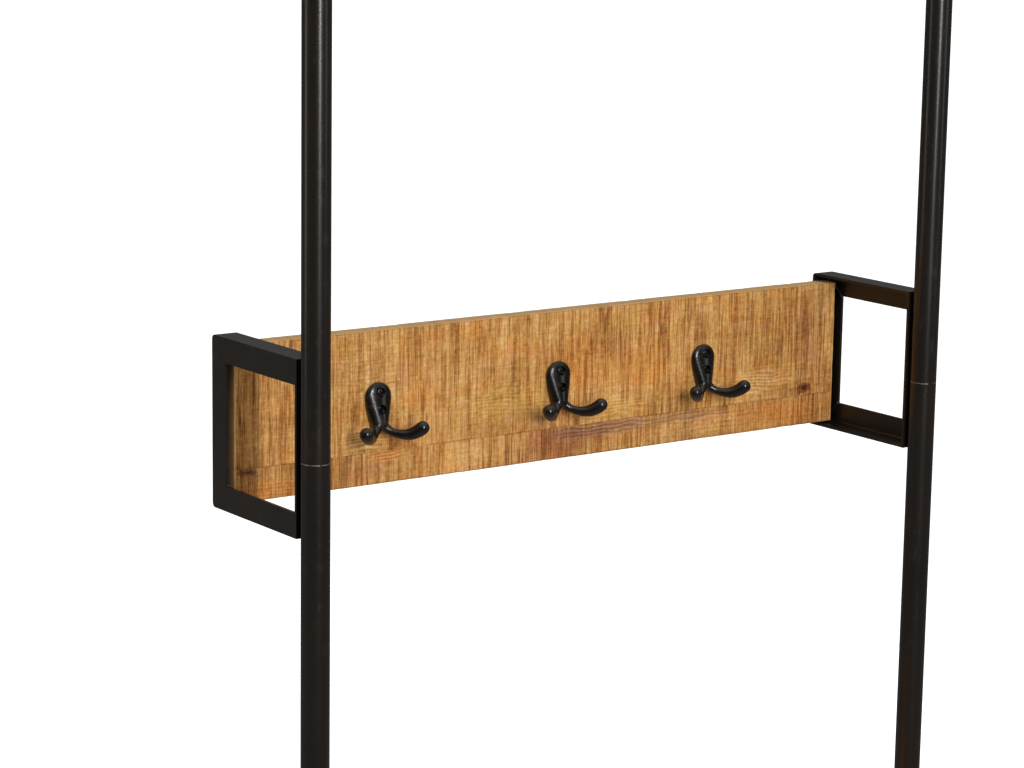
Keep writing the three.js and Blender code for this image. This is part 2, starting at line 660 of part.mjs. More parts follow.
/** A welded end frame: two legs, two rails, a flat bar for the post and a foot plate in each leg. */
function makeSideFrame({ word, side }) {
  const outer = side * SIDE_OUTER_X;
  const inboard = X_AXIS.clone().multiplyScalar(-side);
  const parts = [];
  const cutters = [];
  for (const { end } of ENDS) {
    const inwards = Y_AXIS.clone().multiplyScalar(-end);
    const legCorner = new THREE.Vector3(outer, end * FRAME_FRONT, LEG_BOTTOM);
    parts.push(angleBar(legCorner, Z_AXIS, SEAT_FRAME_TOP - LEG_BOTTOM, inboard, inwards));
    parts.push(
      boxBetween(
        [outer, end * FRAME_FRONT, LEG_BOTTOM],
        [outer - side * ANGLE_LEG, end * (FRAME_FRONT - ANGLE_LEG), LEG_BOTTOM + ANGLE_THICKNESS],
      ),
    );
    const studPlace = new THREE.Vector3(...glidePlace(side, end), 0);
    cutters.push(rodFrom(studPlace, Z_AXIS, FOOT_PLATE_HOLE / 2, 4 * LEG_BOTTOM, BOLT_SIDES));
    for (const level of railLevels) {
      cutters.push(railBoltHole(side * LEG_BOLT_X, end, railBoltHeight(level)));
    }
  }
  for (const level of railLevels) {
    const railCorner = new THREE.Vector3(outer, -FRAME_FRONT, level.top - ANGLE_LEG);
    parts.push(angleBar(railCorner, Y_AXIS, FRAME_DEPTH, inboard, Z_AXIS));
  }
  const barHalf = ANGLE_LEG / 2;
  parts.push(
    boxBetween(
      [outer, -barHalf, SHELF_FRAME_TOP - ANGLE_LEG],
      [outer - side * ANGLE_THICKNESS, barHalf, SEAT_FRAME_TOP],
    ),
  );
  for (const height of Object.values(postBoltHeights)) {
    const postCentre = new THREE.Vector3(side * POST_X, 0, height);
    cutters.push(rodFrom(postCentre, inboard, BOLT_HOLE / 2, 2 * POST_DIAMETER, BOLT_SIDES));
  }
  return piece("side_frame_" + word, shaped(parts, cutters), blackMetal());
}

/** X and Y of a leg's glide, in the middle of the leg's inner corner. */
function glidePlace(side, end) {
  const inset = (ANGLE_LEG + ANGLE_THICKNESS) / 2;
  return [side * (SIDE_OUTER_X - inset), end * (FRAME_FRONT - inset)];
}

function makeLegGlide({ word, side }, { word: endWord, end }) {
  const glide = turned(
    [
      [0, 0],
      [LEG_GLIDE_DIAMETER / 2 - GLIDE_CHAMFER, 0],
      [LEG_GLIDE_DIAMETER / 2, GLIDE_CHAMFER],
      [LEG_GLIDE_DIAMETER / 2, LEG_GLIDE_HEIGHT],
      [LEG_GLIDE_STUD / 2, LEG_GLIDE_HEIGHT],
      [LEG_GLIDE_STUD / 2, LEG_GLIDE_HEIGHT + LEG_GLIDE_STUD_LENGTH],
      [0, LEG_GLIDE_HEIGHT + LEG_GLIDE_STUD_LENGTH],
    ],
    GLIDE_SIDES,
  );
  const place = new THREE.Vector3(...glidePlace(side, end), 0);
  return piece(`leg_glide_${word}_${endWord}`, glide, blackPlastic(), place);
}

/** A long rail: an angle-iron bar whose ledge is cut back to clear the end frames. */
function makeLongRail(level, { word, end }) {
  const inwards = Y_AXIS.clone().multiplyScalar(-end);
  const halfLength = SIDE_INNER_X - ANGLE_FILLET - GAP;
  const outerY = end * (FRAME_FRONT - ANGLE_THICKNESS - GAP);
  const bottom = level.top - ANGLE_LEG;
  const corner = new THREE.Vector3(-halfLength, outerY, bottom);
  const bar = angleBar(corner, X_AXIS, 2 * halfLength, inwards, Z_AXIS);
  const ledgeHalf = SIDE_OUTER_X - ANGLE_LEG - GAP;
  const ledgeRoot = outerY - end * (ANGLE_THICKNESS + ANGLE_FILLET / 2);
  const cutters = [];
  for (const { side } of SIDES) {
    cutters.push(
      boxBetween(
        [side * ledgeHalf, ledgeRoot, bottom - ANGLE_THICKNESS],
        [side * (SIDE_OUTER_X + ANGLE_LEG), outerY - end * 2 * ANGLE_LEG, level.top + ANGLE_THICKNESS],
      ),
    );
    cutters.push(
      boxBetween(
        [side * ledgeHalf, outerY + end * ANGLE_THICKNESS, bottom - ANGLE_THICKNESS],
        [side * (SIDE_OUTER_X + ANGLE_LEG), outerY - end * 2 * ANGLE_LEG, bottom + ANGLE_THICKNESS + GAP],
      ),
    );
    cutters.push(railBoltHole(side * LEG_BOLT_X, end, railBoltHeight(level)));
  }
  return piece(`${level.word}_rail_${word}`, shaped([bar], cutters), blackMetal());
}

/** The bolts at the two ends of a long rail, their heads outside the legs. */
function makeRailBolts(level, { word: endWord, end }) {
  const outwards = Y_AXIS.clone().multiplyScalar(end);
  const shank = GAP + ANGLE_THICKNESS + GAP + ANGLE_THICKNESS;
  return SIDES.map(({ word, side }) => {
    const point = new THREE.Vector3(side * LEG_BOLT_X, end * (FRAME_FRONT + GAP), railBoltHeight(level));
    const name = `${level.word}_rail_bolt_${endWord}_${word}`;
    return fastener(name, buttonBolt(shank), blackScrew(), point, outwards);
  });
}

/** The bolts that hold a post to the flat bar of its end frame, their heads inboard. */
function makePostBolts({ word, side }) {
  const inboard = X_AXIS.clone().multiplyScalar(-side);
  const shank = GAP + ANGLE_THICKNESS + GAP + POST_WALL + BOLT_REACH;
  return Object.entries(postBoltHeights).map(([level, height]) => {
    const point = new THREE.Vector3(side * (SIDE_INNER_X - GAP), 0, height);
    return fastener(`post_bolt_${word}_${level}`, buttonBolt(shank), blackScrew(), point, inboard);
  });
}

/** The planks of one level, side by side on the ledges of the angle iron. */
function makePlanks(level) {
  const halfLength = SIDE_INNER_X - ANGLE_FILLET - GAP;
  const halfDepth = FRAME_FRONT - 2 * (ANGLE_THICKNESS + GAP) - ANGLE_FILLET;
  const planksDepth = 2 * halfDepth - (PLANKS_PER_LEVEL - 1) * PLANK_SPACING;
  const plankDepth = planksDepth / PLANKS_PER_LEVEL;
  const bottom = level.top - ANGLE_LEG + ANGLE_THICKNESS + GAP;
  const planks = [];
  for (let index = 0; index < PLANKS_PER_LEVEL; index++) {
    const front = -halfDepth + index * (plankDepth + PLANK_SPACING);
    const blank = boxBetween(
      [-halfLength, front, bottom],
      [halfLength, front + plankDepth, bottom + level.plankThickness],
    );
    planks.push(piece(`${level.word}_plank_${index + 1}`, blank, roughWood()));
  }
  return planks;
}

// ---- Assembly ----------------------------------------------------------------------------------------

const hallTree = new THREE.Group();
hallTree.add(makeHoop());
for (const sideOf of SIDES) {
  hallTree.add(makeLowerPost(sideOf), makeSpigot(sideOf), makePostGlide(sideOf));
  hallTree.add(makeBracket(sideOf), ...makeBracketBolts(sideOf), ...makeBoardScrews(sideOf));
  hallTree.add(makeSideFrame(sideOf), ...makePostBolts(sideOf));
  for (const endOf of ENDS) {
    hallTree.add(makeLegGlide(sideOf, endOf));
  }
}

const upperPlankBottom = BOARD_BOTTOM + LOWER_PLANK_HEIGHT + GAP;
hallTree.add(makeBoardPlank("board_plank_lower", BOARD_BOTTOM, LOWER_PLANK_HEIGHT));
hallTree.add(makeBoardPlank("board_plank_upper", upperPlankBottom, UPPER_PLANK_HEIGHT));

const casting = hookCasting();
for (const hook of HOOKS) {
  hallTree.add(makeHook(hook, casting));
}

for (const level of railLevels) {
  for (const endOf of ENDS) {
    hallTree.add(makeLongRail(level, endOf), ...makeRailBolts(level, endOf));
  }
  hallTree.add(...makePlanks(level));
}

export default hallTree;
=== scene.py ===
"""A free-standing hall tree: black tube and angle iron, rough-sawn mango boards and cast double hooks.

Lengths are in metres, +Z is up and the front faces -Y. Each class makes one sub-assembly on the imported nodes.
"""

import logging
import math
from dataclasses import dataclass, field
from enum import Enum
from functools import cached_property
from typing import Callable, Iterable, Mapping, Sequence

import bmesh
import bpy
from mathutils import Matrix, Vector, noise


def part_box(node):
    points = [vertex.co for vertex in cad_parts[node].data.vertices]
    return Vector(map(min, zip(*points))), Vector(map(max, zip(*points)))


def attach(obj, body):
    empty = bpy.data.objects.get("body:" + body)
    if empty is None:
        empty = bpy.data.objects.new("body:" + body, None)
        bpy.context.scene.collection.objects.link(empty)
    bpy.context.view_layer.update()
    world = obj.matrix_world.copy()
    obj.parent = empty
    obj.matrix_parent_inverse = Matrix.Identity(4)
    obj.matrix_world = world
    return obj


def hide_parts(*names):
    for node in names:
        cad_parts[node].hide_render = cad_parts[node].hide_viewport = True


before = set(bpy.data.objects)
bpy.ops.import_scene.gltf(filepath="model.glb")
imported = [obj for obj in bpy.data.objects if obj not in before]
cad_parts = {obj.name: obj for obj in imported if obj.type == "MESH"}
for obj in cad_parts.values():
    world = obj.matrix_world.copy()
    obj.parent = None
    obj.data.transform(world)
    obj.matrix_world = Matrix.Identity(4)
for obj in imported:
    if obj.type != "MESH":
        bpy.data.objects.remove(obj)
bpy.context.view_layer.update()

LOG = logging.getLogger("hall_tree")
BODY = "root"
MM = 0.001
X = Vector((1.0, 0.0, 0.0))
Y = Vector((0.0, 1.0, 0.0))
Z = Vector((0.0, 0.0, 1.0))
GAP = 0.3 * MM  # between two pieces that touch
SIDES = {"left": -1, "right": 1}
ENDS = {"front": -1, "rear": 1}
LEVELS = ("seat", "shelf")

Colour = tuple[float, float, float, float]


def display(red: int, green: int, blue: int) -> Colour:
    """A colour as a screen shows it, from 0 to 255, made linear."""

    def linear(value: int) -> float:
        """One channel without the screen's curve."""
        share = value / 255
        return share / 12.92 if share <= 0.04045 else ((share + 0.055) / 1.055) ** 2.4

    return (linear(red), linear(green), linear(blue), 1.0)


# ---- Shader building -------------------------------------------------------------------------------


class Signal:
    """A shader's output whose arithmetic adds Math nodes to its tree."""

    def __init__(self, shader: "Shader", socket: bpy.types.NodeSocket) -> None:
        """Keeps the shader and the socket."""
        self.shader = shader
        self.socket = socket

    def __add__(self, other: "Signal | float") -> "Signal":
        """The sum."""
        return self.shader.maths("ADD", self, other)

    def __sub__(self, other: "Signal | float") -> "Signal":
        """This less the other."""
        return self.shader.maths("SUBTRACT", self, other)

    def __rsub__(self, other: "Signal | float") -> "Signal":
        """The other less this."""
        return self.shader.maths("SUBTRACT", other, self)

    def __mul__(self, other: "Signal | float") -> "Signal":
        """The product."""
        return self.shader.maths("MULTIPLY", self, other)

    def __truediv__(self, other: "Signal | float") -> "Signal":
        """This over the other."""
        return self.shader.maths("DIVIDE", self, other)

    def __pow__(self, other: "Signal | float") -> "Signal":
        """This to a power."""
        return self.shader.maths("POWER", self, other)

    __radd__ = __add__
    __rmul__ = __mul__

    def absolute(self) -> "Signal":
        """The value without its sign."""
        return self.shader.maths("ABSOLUTE", self)

    def sine(self) -> "Signal":
        """The sine of the value."""
        return self.shader.maths("SINE", self)

    def least(self, other: "Signal | float") -> "Signal":
        """The smaller of the two."""
        return self.shader.maths("MINIMUM", self, other)

    def most(self, other: "Signal | float") -> "Signal":
        """The larger of the two."""
        return self.shader.maths("MAXIMUM", self, other)

    def between(self, low: float, high: float) -> "Signal":
        """A smooth step.

        Args:
            low: The value that gives 0.
            high: The value that gives 1; it may be under low, which turns the step round.

        Returns:
            A signal from 0 to 1.
        """
        span = {"Value": self, "From Min": low, "From Max": high}
        return self.shader.node("ShaderNodeMapRange", {"interpolation_type": "SMOOTHSTEP"}, span)


class Shader:
    """A material's node tree around one Principled shader."""

    def __init__(self, name: str) -> None:
        """Makes the material with a bare shader.

        Args:
            name: The material's name.
        """
        self.material = bpy.data.materials.new(name)
        self.material.use_nodes = True
        self.tree = self.material.node_tree
        self.tree.nodes.clear()
        self.surface = self.tree.nodes.new("ShaderNodeBsdfPrincipled")
        output = self.tree.nodes.new("ShaderNodeOutputMaterial")
        self.tree.links.new(self.surface.outputs[0], output.inputs["Surface"])

    def feed(self, socket: bpy.types.NodeSocket, value: "Signal | float | Sequence[float]") -> None:
        """Links a signal to a socket, or sets the socket's own value."""
        if isinstance(value, Signal):
            self.tree.links.new(value.socket, socket)
        else:
            socket.default_value = value

    def node(self, kind: str, settings: Mapping, inputs: Mapping, output: int | str = 0) -> Signal:
        """Adds any node.

        Args:
            kind: The node's type.
            settings: Its own settings, set first; "stops" are a ramp's places and colours.
            inputs: Values or signals for its sockets, by name or number.
            output: The output to give back.

        Returns:
            The signal of that output.
        """
        made = self.tree.nodes.new(kind)
        for name, value in settings.items():
            if name == "stops":
                self._set_stops(made.color_ramp.elements, value)
            else:
                setattr(made, name, value)
        for name, value in inputs.items():
            self.feed(made.inputs[name], value)
        return Signal(self, made.outputs[output])

    @staticmethod
    def _set_stops(elements: bpy.types.ColorRampElements, stops: Sequence[tuple[float, Colour]]) -> None:
        """Gives a ramp its stops, reusing the two that it starts with."""
        while len(elements) < len(stops):
            elements.new(1.0)
        for element, (place, colour) in zip(elements, stops):
            element.position = place
            element.color = colour

    def maths(self, operation: str, *values: "Signal | float") -> Signal:
        """A Math node on one or two values."""
        return self.node("ShaderNodeMath", {"operation": operation}, dict(enumerate(values)))

    def place(self) -> tuple[Signal, Signal, Signal]:
        """X, Y and Z of the point in the piece's own frame."""
        point = self.node("ShaderNodeTexCoord", {}, {}, "Object")
        return tuple(self.node("ShaderNodeSeparateXYZ", {}, {0: point}, axis) for axis in range(3))

    def vector(self, x: Signal | float, y: Signal | float, z: Signal | float) -> Signal:
        """Three values as one vector."""
        return self.node("ShaderNodeCombineXYZ", {}, {0: x, 1: y, 2: z})

    def noise(self, where: Signal, detail: float = 2.0, roughness: float = 0.5) -> Signal:
        """Smooth noise with features one unit wide, from 0 to 1."""
        settings = {"Vector": where, "Scale": 1.0, "Detail": detail, "Roughness": roughness}
        return self.node("ShaderNodeTexNoise", {}, settings)

    def mixed(self, share: Signal | float, first: Signal | Colour, second: Signal | Colour) -> Signal:
        """A colour between two."""
        return self.node("ShaderNodeMix", {"data_type": "RGBA"}, {0: share, 6: first, 7: second}, 2)

    def multiplied(self, share: Signal | float, first: Signal, second: Signal | Colour) -> Signal:
        """A colour darkened by another."""
        settings = {"data_type": "RGBA", "blend_type": "MULTIPLY"}
        return self.node("ShaderNodeMix", settings, {0: share, 6: first, 7: second}, 2)

    def ramp(self, value: Signal, stops: Sequence[tuple[float, Colour]]) -> Signal:
        """A colour for a value, from the stops of a ramp."""
        return self.node("ShaderNodeValToRGB", {"stops": stops}, {0: value})

    def bumped(self, height: Signal, distance: float, strength: float) -> None:
        """Gives the surface a relief.

        Args:
            height: The relief, from 0 to 1.
            distance: The height of 1, in metres.
            strength: How much of it shows.
        """
        inputs = {"Height": height, "Distance": distance, "Strength": strength}
        self.finish(Normal=self.node("ShaderNodeBump", {}, inputs))

    def finish(self, **values: "Signal | float | Sequence[float]") -> None:
        """Sets or links sockets of the Principled shader; underscores stand for spaces."""
        for name, value in values.items():
            self.feed(self.surface.inputs[name.replace("_", " ")], value)


# ---- Finishes --------------------------------------------------------------------------------------


@dataclass(frozen=True)
class PowderCoat:
    """Satin black powder coat on steel, a little orange-peeled, rubbed bare at one height if it is given."""

    name: str = "black_powder_coat"
    slot: str = "black_metal"
    roughness: float = 0.32
    rubbed_at: float | None = None
    rub_width: float = 0.55 * MM
    peel: float = 0.35

    def material(self) -> bpy.types.Material:
        """Builds the material."""
        shader = Shader(self.name)
        x, y, z = shader.place()
        peel = shader.noise(shader.vector(x * 620, y * 620, z * 620), 1.0)
        cloud = shader.noise(shader.vector(x * 14, y * 14, z * 9), 3.0, 0.6)
        grime = shader.noise(shader.vector(x * 90, y * 90, z * 45), 4.0, 0.62).between(0.56, 0.75)
        tint = shader.mixed(cloud, display(14, 11, 8), display(26, 20, 15))
        tint = shader.mixed(grime * 0.3, tint, display(42, 34, 27))
        sheen = cloud * 0.1 + grime * 0.12 + (self.roughness - 0.05)
        if self.rubbed_at is not None:
            break_up = shader.noise(shader.vector(x * 160, y * 160, z * 160), 2.0).between(0.36, 0.56)
            rub = (z - self.rubbed_at).absolute().between(self.rub_width, self.rub_width * 0.55) * break_up
            tint = shader.mixed(rub, tint, display(168, 158, 146))
            shader.finish(Metallic=rub * 0.7)
        shader.finish(Base_Color=tint, Roughness=sheen, Specular_IOR_Level=0.46)
        shader.bumped(peel * 0.7 + cloud * 0.3, 0.05 * MM, self.peel)
        return shader.material


@dataclass(frozen=True)
class CastLacquer:
    """Black lacquer over a sand casting: glossy, with soft unevenness under it."""

    name: str = "cast_black_lacquer"
    slot: str = "cast_black"

    def material(self) -> bpy.types.Material:
        """Builds the material."""
        shader = Shader(self.name)
        x, y, z = shader.place()
        swell = shader.noise(shader.vector(x * 170, y * 170, z * 170), 2.0, 0.55)
        pits = shader.noise(shader.vector(x * 900, y * 900, z * 900), 2.0, 0.6)
        rubbed = shader.noise(shader.vector(x * 70, y * 70, z * 70), 3.0, 0.6).between(0.52, 0.72)
        tint = shader.mixed(rubbed * 0.6, display(12, 10, 8), display(34, 25, 19))
        shader.finish(Base_Color=tint, Roughness=rubbed * 0.12 + pits * 0.08 + 0.18, Specular_IOR_Level=0.45)
        shader.bumped(swell * 0.75 + pits * 0.25, 0.22 * MM, 0.4)
        return shader.material


@dataclass(frozen=True)
class BlackenedSteel:
    """Blackened fasteners, brighter where a driver or a washer has rubbed them."""

    name: str = "blackened_steel"
    slot: str = "black_screw"

    def material(self) -> bpy.types.Material:
        """Builds the material."""
        shader = Shader(self.name)
        x, y, z = shader.place()
        wear = shader.noise(shader.vector(x * 480, y * 480, z * 480), 3.0, 0.65).between(0.52, 0.74)
        grain = shader.noise(shader.vector(x * 1500, y * 1500, z * 1500), 2.0)
        tint = shader.mixed(wear * 0.6, display(26, 24, 22), display(88, 82, 74))
        shader.finish(Base_Color=tint, Metallic=wear * 0.35 + 0.4, Roughness=grain * 0.14 + 0.24)
        shader.bumped(grain, 0.03 * MM, 0.3)
        return shader.material


@dataclass(frozen=True)
class ZincPlate:
    """Zinc plating with its faint spangle."""

    name: str = "zinc_plate"
    slot: str = "zinc_steel"

    def material(self) -> bpy.types.Material:
        """Builds the material."""
        shader = Shader(self.name)
        x, y, z = shader.place()
        point = shader.vector(x * 230, y * 230, z * 230)
        spangle = shader.node("ShaderNodeTexVoronoi", {}, {"Vector": point, "Scale": 1.0}, "Color")
        haze = shader.noise(point, 3.0)
        tint = shader.mixed(haze, display(150, 154, 158), display(196, 198, 198))
        tint = shader.mixed(0.08, tint, spangle)
        shader.finish(Base_Color=tint, Metallic=1.0, Roughness=haze * 0.2 + 0.26)
        return shader.material


@dataclass(frozen=True)
class MouldedPlastic:
    """Black moulded plastic with a fine matt texture, scuffed close to the floor."""

    name: str = "moulded_plastic"
    slot: str = "black_plastic"

    def material(self) -> bpy.types.Material:
        """Builds the material."""
        shader = Shader(self.name)
        x, y, z = shader.place()
        spark = shader.noise(shader.vector(x * 1800, y * 1800, z * 1800), 1.0)
        scuff = shader.noise(shader.vector(x * 260, y * 260, z * 900), 4.0, 0.7).between(0.5, 0.7)
        scuff = scuff * z.between(2.5 * MM, 0.4 * MM)
        tint = shader.mixed(scuff * 0.6, display(23, 23, 23), display(92, 90, 86))
        shader.finish(Base_Color=tint, Roughness=spark * 0.12 + 0.5)
        shader.bumped(spark, 0.04 * MM, 0.5)
        return shader.material


class Face(Enum):
    """Which way the broad face of a plank looks."""

    FRONT = "front"
    TOP = "top"


WOOD_STOPS = (
    (0.0, display(116, 68, 27)),
    (0.25, display(152, 100, 45)),
    (0.52, display(184, 132, 68)),
    (0.8, display(207, 159, 94)),
    (1.0, display(226, 184, 124)),
)


class Mark(Enum):
    """Kinds of colouring in mango wood, each with the colour that it gives to middling wood."""

    ORANGE = (192, 120, 48)
    RED = (150, 92, 52)
    PALE = (208, 160, 96)
    GREY = (142, 104, 72)
    OLIVE = (184, 144, 68)
    ROSE = (190, 134, 88)

    def stain(self) -> Colour:
        """What the colouring multiplies the wood's colour by."""
        plain = WOOD_STOPS[2][1]
        return tuple(mark / wood for mark, wood in zip(display(*self.value), plain))


@dataclass(frozen=True)
class Patch:
    """A soft-edged patch of colour on a plank.

    Attributes:
        mark: Its colour.
        along: Its middle along the plank, in millimetres from the plank's middle.
        across: Its middle across the plank, in millimetres up from the lower edge.
        half_length: Half its length, in millimetres.
        half_width: Half its width, in millimetres.
        strength: How strong it is, from 0 to 1.
        smooth: How far the saw marks fade in it, from 0 to 1.
    """

    mark: Mark
    along: float
    across: float
    half_length: float
    half_width: float
    strength: float = 0.5
    smooth: float = 0.0


@dataclass(frozen=True)
class Knot:
    """A knot with the grain flowing round it, placed as a patch is."""

    along: float
    across: float
    radius: float
    stretch: float = 2.0
    darkness: float = 0.7


@dataclass(frozen=True)
class SawnMango:
    """Rough-sawn mango wood: saw marks across the grain over faint grain lines, with patches and knots.

    Attributes:
        name: The material's name.
        middle: Middle of the plank's broad face, in metres.
        half_length: Half the plank's length.
        low_edge: The lower edge, or the front edge of a plank that lies flat.
        width: From that edge to the other.
        face: Which way the broad face looks.
        seed: Moves the patterns.
        patches: Patches of colour.
        knots: Knots.
        tone: Makes the whole plank a little redder.
        glued: The sides of its width, -1 or 1, that are glued to another plank.
    """

    name: str
    middle: float
    half_length: float
    low_edge: float
    width: float
    face: Face = Face.FRONT
    seed: float = 0.0
    patches: tuple[Patch, ...] = ()
    knots: tuple[Knot, ...] = ()
    tone: float = 0.0
    glued: tuple[int, ...] = ()
    slot: str = "rough_wood"

    def _ellipse(self, along: Signal, across: Signal, spot: Patch | Knot, half: Vector) -> Signal:
        """Distance from a spot's middle, 1 at its rim."""
        out = (along - (self.middle + spot.along * MM)) / (half.x * MM)
        up = (across - (self.low_edge + spot.across * MM)) / (half.y * MM)
        return (out * out + up * up) ** 0.5

    def _saw_marks(self, shader: Shader, u: Signal, v: Signal, w: Signal) -> tuple[Signal, Signal, Signal]:
        """Streaks across the grain.

        Args:
            shader: The shader.
            u: Along the plank.
            v: Across the plank.
            w: Through the plank.

        Returns:
            The streaks, their darkest lines and the torn fibres between them, each from 0 to 1.
        """
        sway = shader.noise(shader.vector(u * 7, v * 6, self.seed + 3.1), 1.0) * 0.0022
        u = u + sway
        fine = shader.noise(shader.vector(u * 760 + self.seed, v * 26, w * 60), 2.0, 0.6)
        middling = shader.noise(shader.vector(u * 310, v * 12 + self.seed, w * 30), 3.0, 0.66)
        broad = shader.noise(shader.vector(u * 80 - self.seed, v * 11, w * 18), 2.0, 0.55)
        torn = shader.noise(shader.vector(u * 230, v * 230, w * 60 + self.seed), 3.0, 0.7)
        streaks = (middling * 0.5 + fine * 0.3 + broad * 0.2).between(0.38, 0.62)
        thin = shader.noise(shader.vector(u * 560 + self.seed * 2, v * 12, w * 20), 3.0, 0.6)
        gather = shader.noise(shader.vector(u * 22, v * 16 + self.seed, w * 9), 2.0, 0.55).between(0.38, 0.64)
        lines = thin.between(0.54, 0.66) * torn.between(0.28, 0.54) * (gather * 0.85 + 0.15)
        return streaks, lines, torn

    def _free_edge(self, v: Signal, outer: float, inner: float) -> Signal:
        """A mask for the strip between two distances from each edge that isn't glued."""
        middle = self.low_edge + self.width / 2
        if not self.glued:
            far = (v - middle).absolute()
        else:
            far = (v - middle) * float(-self.glued[0])
        return far.between(self.width / 2 - inner, self.width / 2 - outer)

    def material(self) -> bpy.types.Material:
        """Builds the material."""
        shader = Shader(self.name)
        x, y, z = shader.place()
        u, v, w = (x, z, y) if self.face is Face.FRONT else (x, y, z)
        streaks, lines, torn = self._saw_marks(shader, u, v, w)
        wander = shader.noise(shader.vector(u * 14, v * 40 + self.seed, w * 20), 3.0, 0.55)
        ragged = (wander - 0.5) * 1.5 + (streaks - 0.5) * 0.25
        ripples = (v * 1500 + w * 700 + wander * 26.0 + u * 9).sine() * 0.5 + 0.5
        grain = shader.noise(shader.vector(u * 22, v * 560, w * 560 + self.seed), 3.0, 0.6)
        cloud = shader.noise(shader.vector(u * 13 + self.seed, v * 19, w * 9), 3.0, 0.6)
        warm = shader.noise(shader.vector(u * 32, v * 42 - self.seed, w * 9), 4.0, 0.62).between(0.46, 0.66)
        ochre = shader.noise(shader.vector(u * 38 - self.seed, v * 50, w * 12), 4.0, 0.62).between(0.5, 0.68)
        rose = shader.noise(shader.vector(u * 54 + self.seed, v * 60, w * 12), 3.0, 0.6).between(0.52, 0.7)
        depth = shader.noise(shader.vector(u * 11, v * 24, w * 9 + self.seed * 3), 2.0).between(0.3, 0.54)
        depth = depth * 0.4 + 0.6
        marked = []
        calm = None
        for spot in self.patches:
            half = Vector((spot.half_length, spot.half_width, 0.0))
            mask = (self._ellipse(u, v, spot, half) + ragged).between(1.25, 0.3)
            marked.append((spot, mask))
            if spot.smooth:
                kept = 1.0 - mask * spot.smooth
                calm = kept if calm is None else calm * kept
        still = 0.0
        if calm is not None:
            depth = depth * calm
            lines = lines * calm
            still = (1.0 - calm) * (ripples - 0.5) * 0.55
        shade = (streaks - 0.5) * depth * 0.56 + (grain - 0.5) * 0.4 + (torn - 0.5) * 1.0
        shade = shade + (cloud - 0.5) * 0.5 + still + 0.54
        tint = shader.ramp(shade, WOOD_STOPS)
        tint = shader.multiplied(warm * 0.45, tint, Mark.ORANGE.stain())
        tint = shader.multiplied(ochre * 0.4, tint, Mark.OLIVE.stain())
        tint = shader.multiplied(rose * 0.4, tint, Mark.ROSE.stain())
        if self.tone:
            tint = shader.multiplied(self.tone, tint, Mark.RED.stain())
        for spot, mask in marked:
            tint = shader.multiplied(mask * spot.strength, tint, spot.mark.stain())
        # Painted shade: the wood is darkened in the low parts of the saw marks, more where the marks are deeper.
        dim = (0.5 - streaks).between(0.0, 0.5) * depth
        tint = shader.multiplied(dim * 0.4, tint, display(192, 172, 150))
        tint = shader.multiplied(lines * 0.85, tint, display(172, 132, 96))
        for knot in self.knots:
            half = Vector((knot.radius * knot.stretch, knot.radius, 0.0))
            far = self._ellipse(u, v, knot, half) + (wander - 0.5) * 1.6 + (torn - 0.5) * 0.8
            swirl = ((far * 9.0 + streaks * 2.6).sine() * 0.5 + 0.5) * far.between(2.1, 0.5)
            heart = far.between(0.95, 0.1)
            tint = shader.multiplied(swirl * knot.darkness * 0.6, tint, display(158, 108, 72))
            tint = shader.multiplied(heart * knot.darkness, tint, display(138, 92, 66))
        end = (u - self.middle).absolute().between(self.half_length - 1.3 * MM, self.half_length - 0.7 * MM)
        end_pores = shader.noise(shader.vector(y * 1300, z * 1300, self.seed), 3.0, 0.6)
        end_rings = shader.noise(shader.vector(y * 90, z * 22, self.seed), 3.0)
        end_tint = shader.mixed(end_pores * 0.6 + end_rings * 0.4, display(172, 126, 76), display(228, 188, 134))
        tint = shader.mixed(end, tint, end_tint)
        edge = self._free_edge(v, 0.6 * MM, 1.1 * MM)
        edge_grain = shader.noise(shader.vector(u * 30, y * 900, z * 900), 3.0, 0.6)
        edge_tint = shader.mixed(edge_grain, display(128, 100, 62), display(196, 162, 110))
        tint = shader.mixed(edge * (1.0 - end) * 0.75, tint, edge_tint)
        arris = self._free_edge(v, 1.2 * MM, 2.0 * MM) * (1.0 - edge)
        tint = shader.multiplied(arris * torn.between(0.35, 0.55) * 0.5, tint, display(158, 122, 86))
        if self.glued:
            seam = (v - (self.low_edge + self.width / 2)) * float(self.glued[0])
            seam = seam.between(self.width / 2 - 1.3 * MM, self.width / 2 - 0.4 * MM)
            tint = shader.multiplied(seam * wander.between(0.42, 0.58) * 0.5, tint, display(160, 122, 92))
        relief = streaks * depth * 0.6 + grain * 0.2 + torn * 0.35 - lines * 0.5
        shader.finish(Base_Color=tint, Roughness=(1.0 - streaks) * 0.16 + 0.58, Specular_IOR_Level=0.3)
        shader.bumped(relief, 0.5 * MM, 0.6)
        return shader.material


# ---- Shaping ---------------------------------------------------------------------------------------


def verts_of(made: Iterable) -> list[bmesh.types.BMVert]:
    """The vertices among an operator's results."""
    return [item for item in made if isinstance(item, bmesh.types.BMVert)]


def edges_of(made: Iterable) -> list[bmesh.types.BMEdge]:
    """The edges among an operator's results."""
    return [item for item in made if isinstance(item, bmesh.types.BMEdge)]


def rounded(
    work: bmesh.types.BMesh,
    edges: Sequence[bmesh.types.BMEdge],
    radius: float,
    segments: int,
    clamped: bool = True,
) -> None:
    """Rounds edges over.

    Args:
        work: The mesh.
        edges: The edges to round.
        radius: The rounding's width.
        segments: How many facets it has.
        clamped: Whether it stops where it would run into another edge.
    """
    bmesh.ops.bevel(
        work,
        geom=list(edges),
        offset=radius,
        segments=segments,
        profile=0.5,
        affect="EDGES",
        material=-1,
        clamp_overlap=clamped,
    )


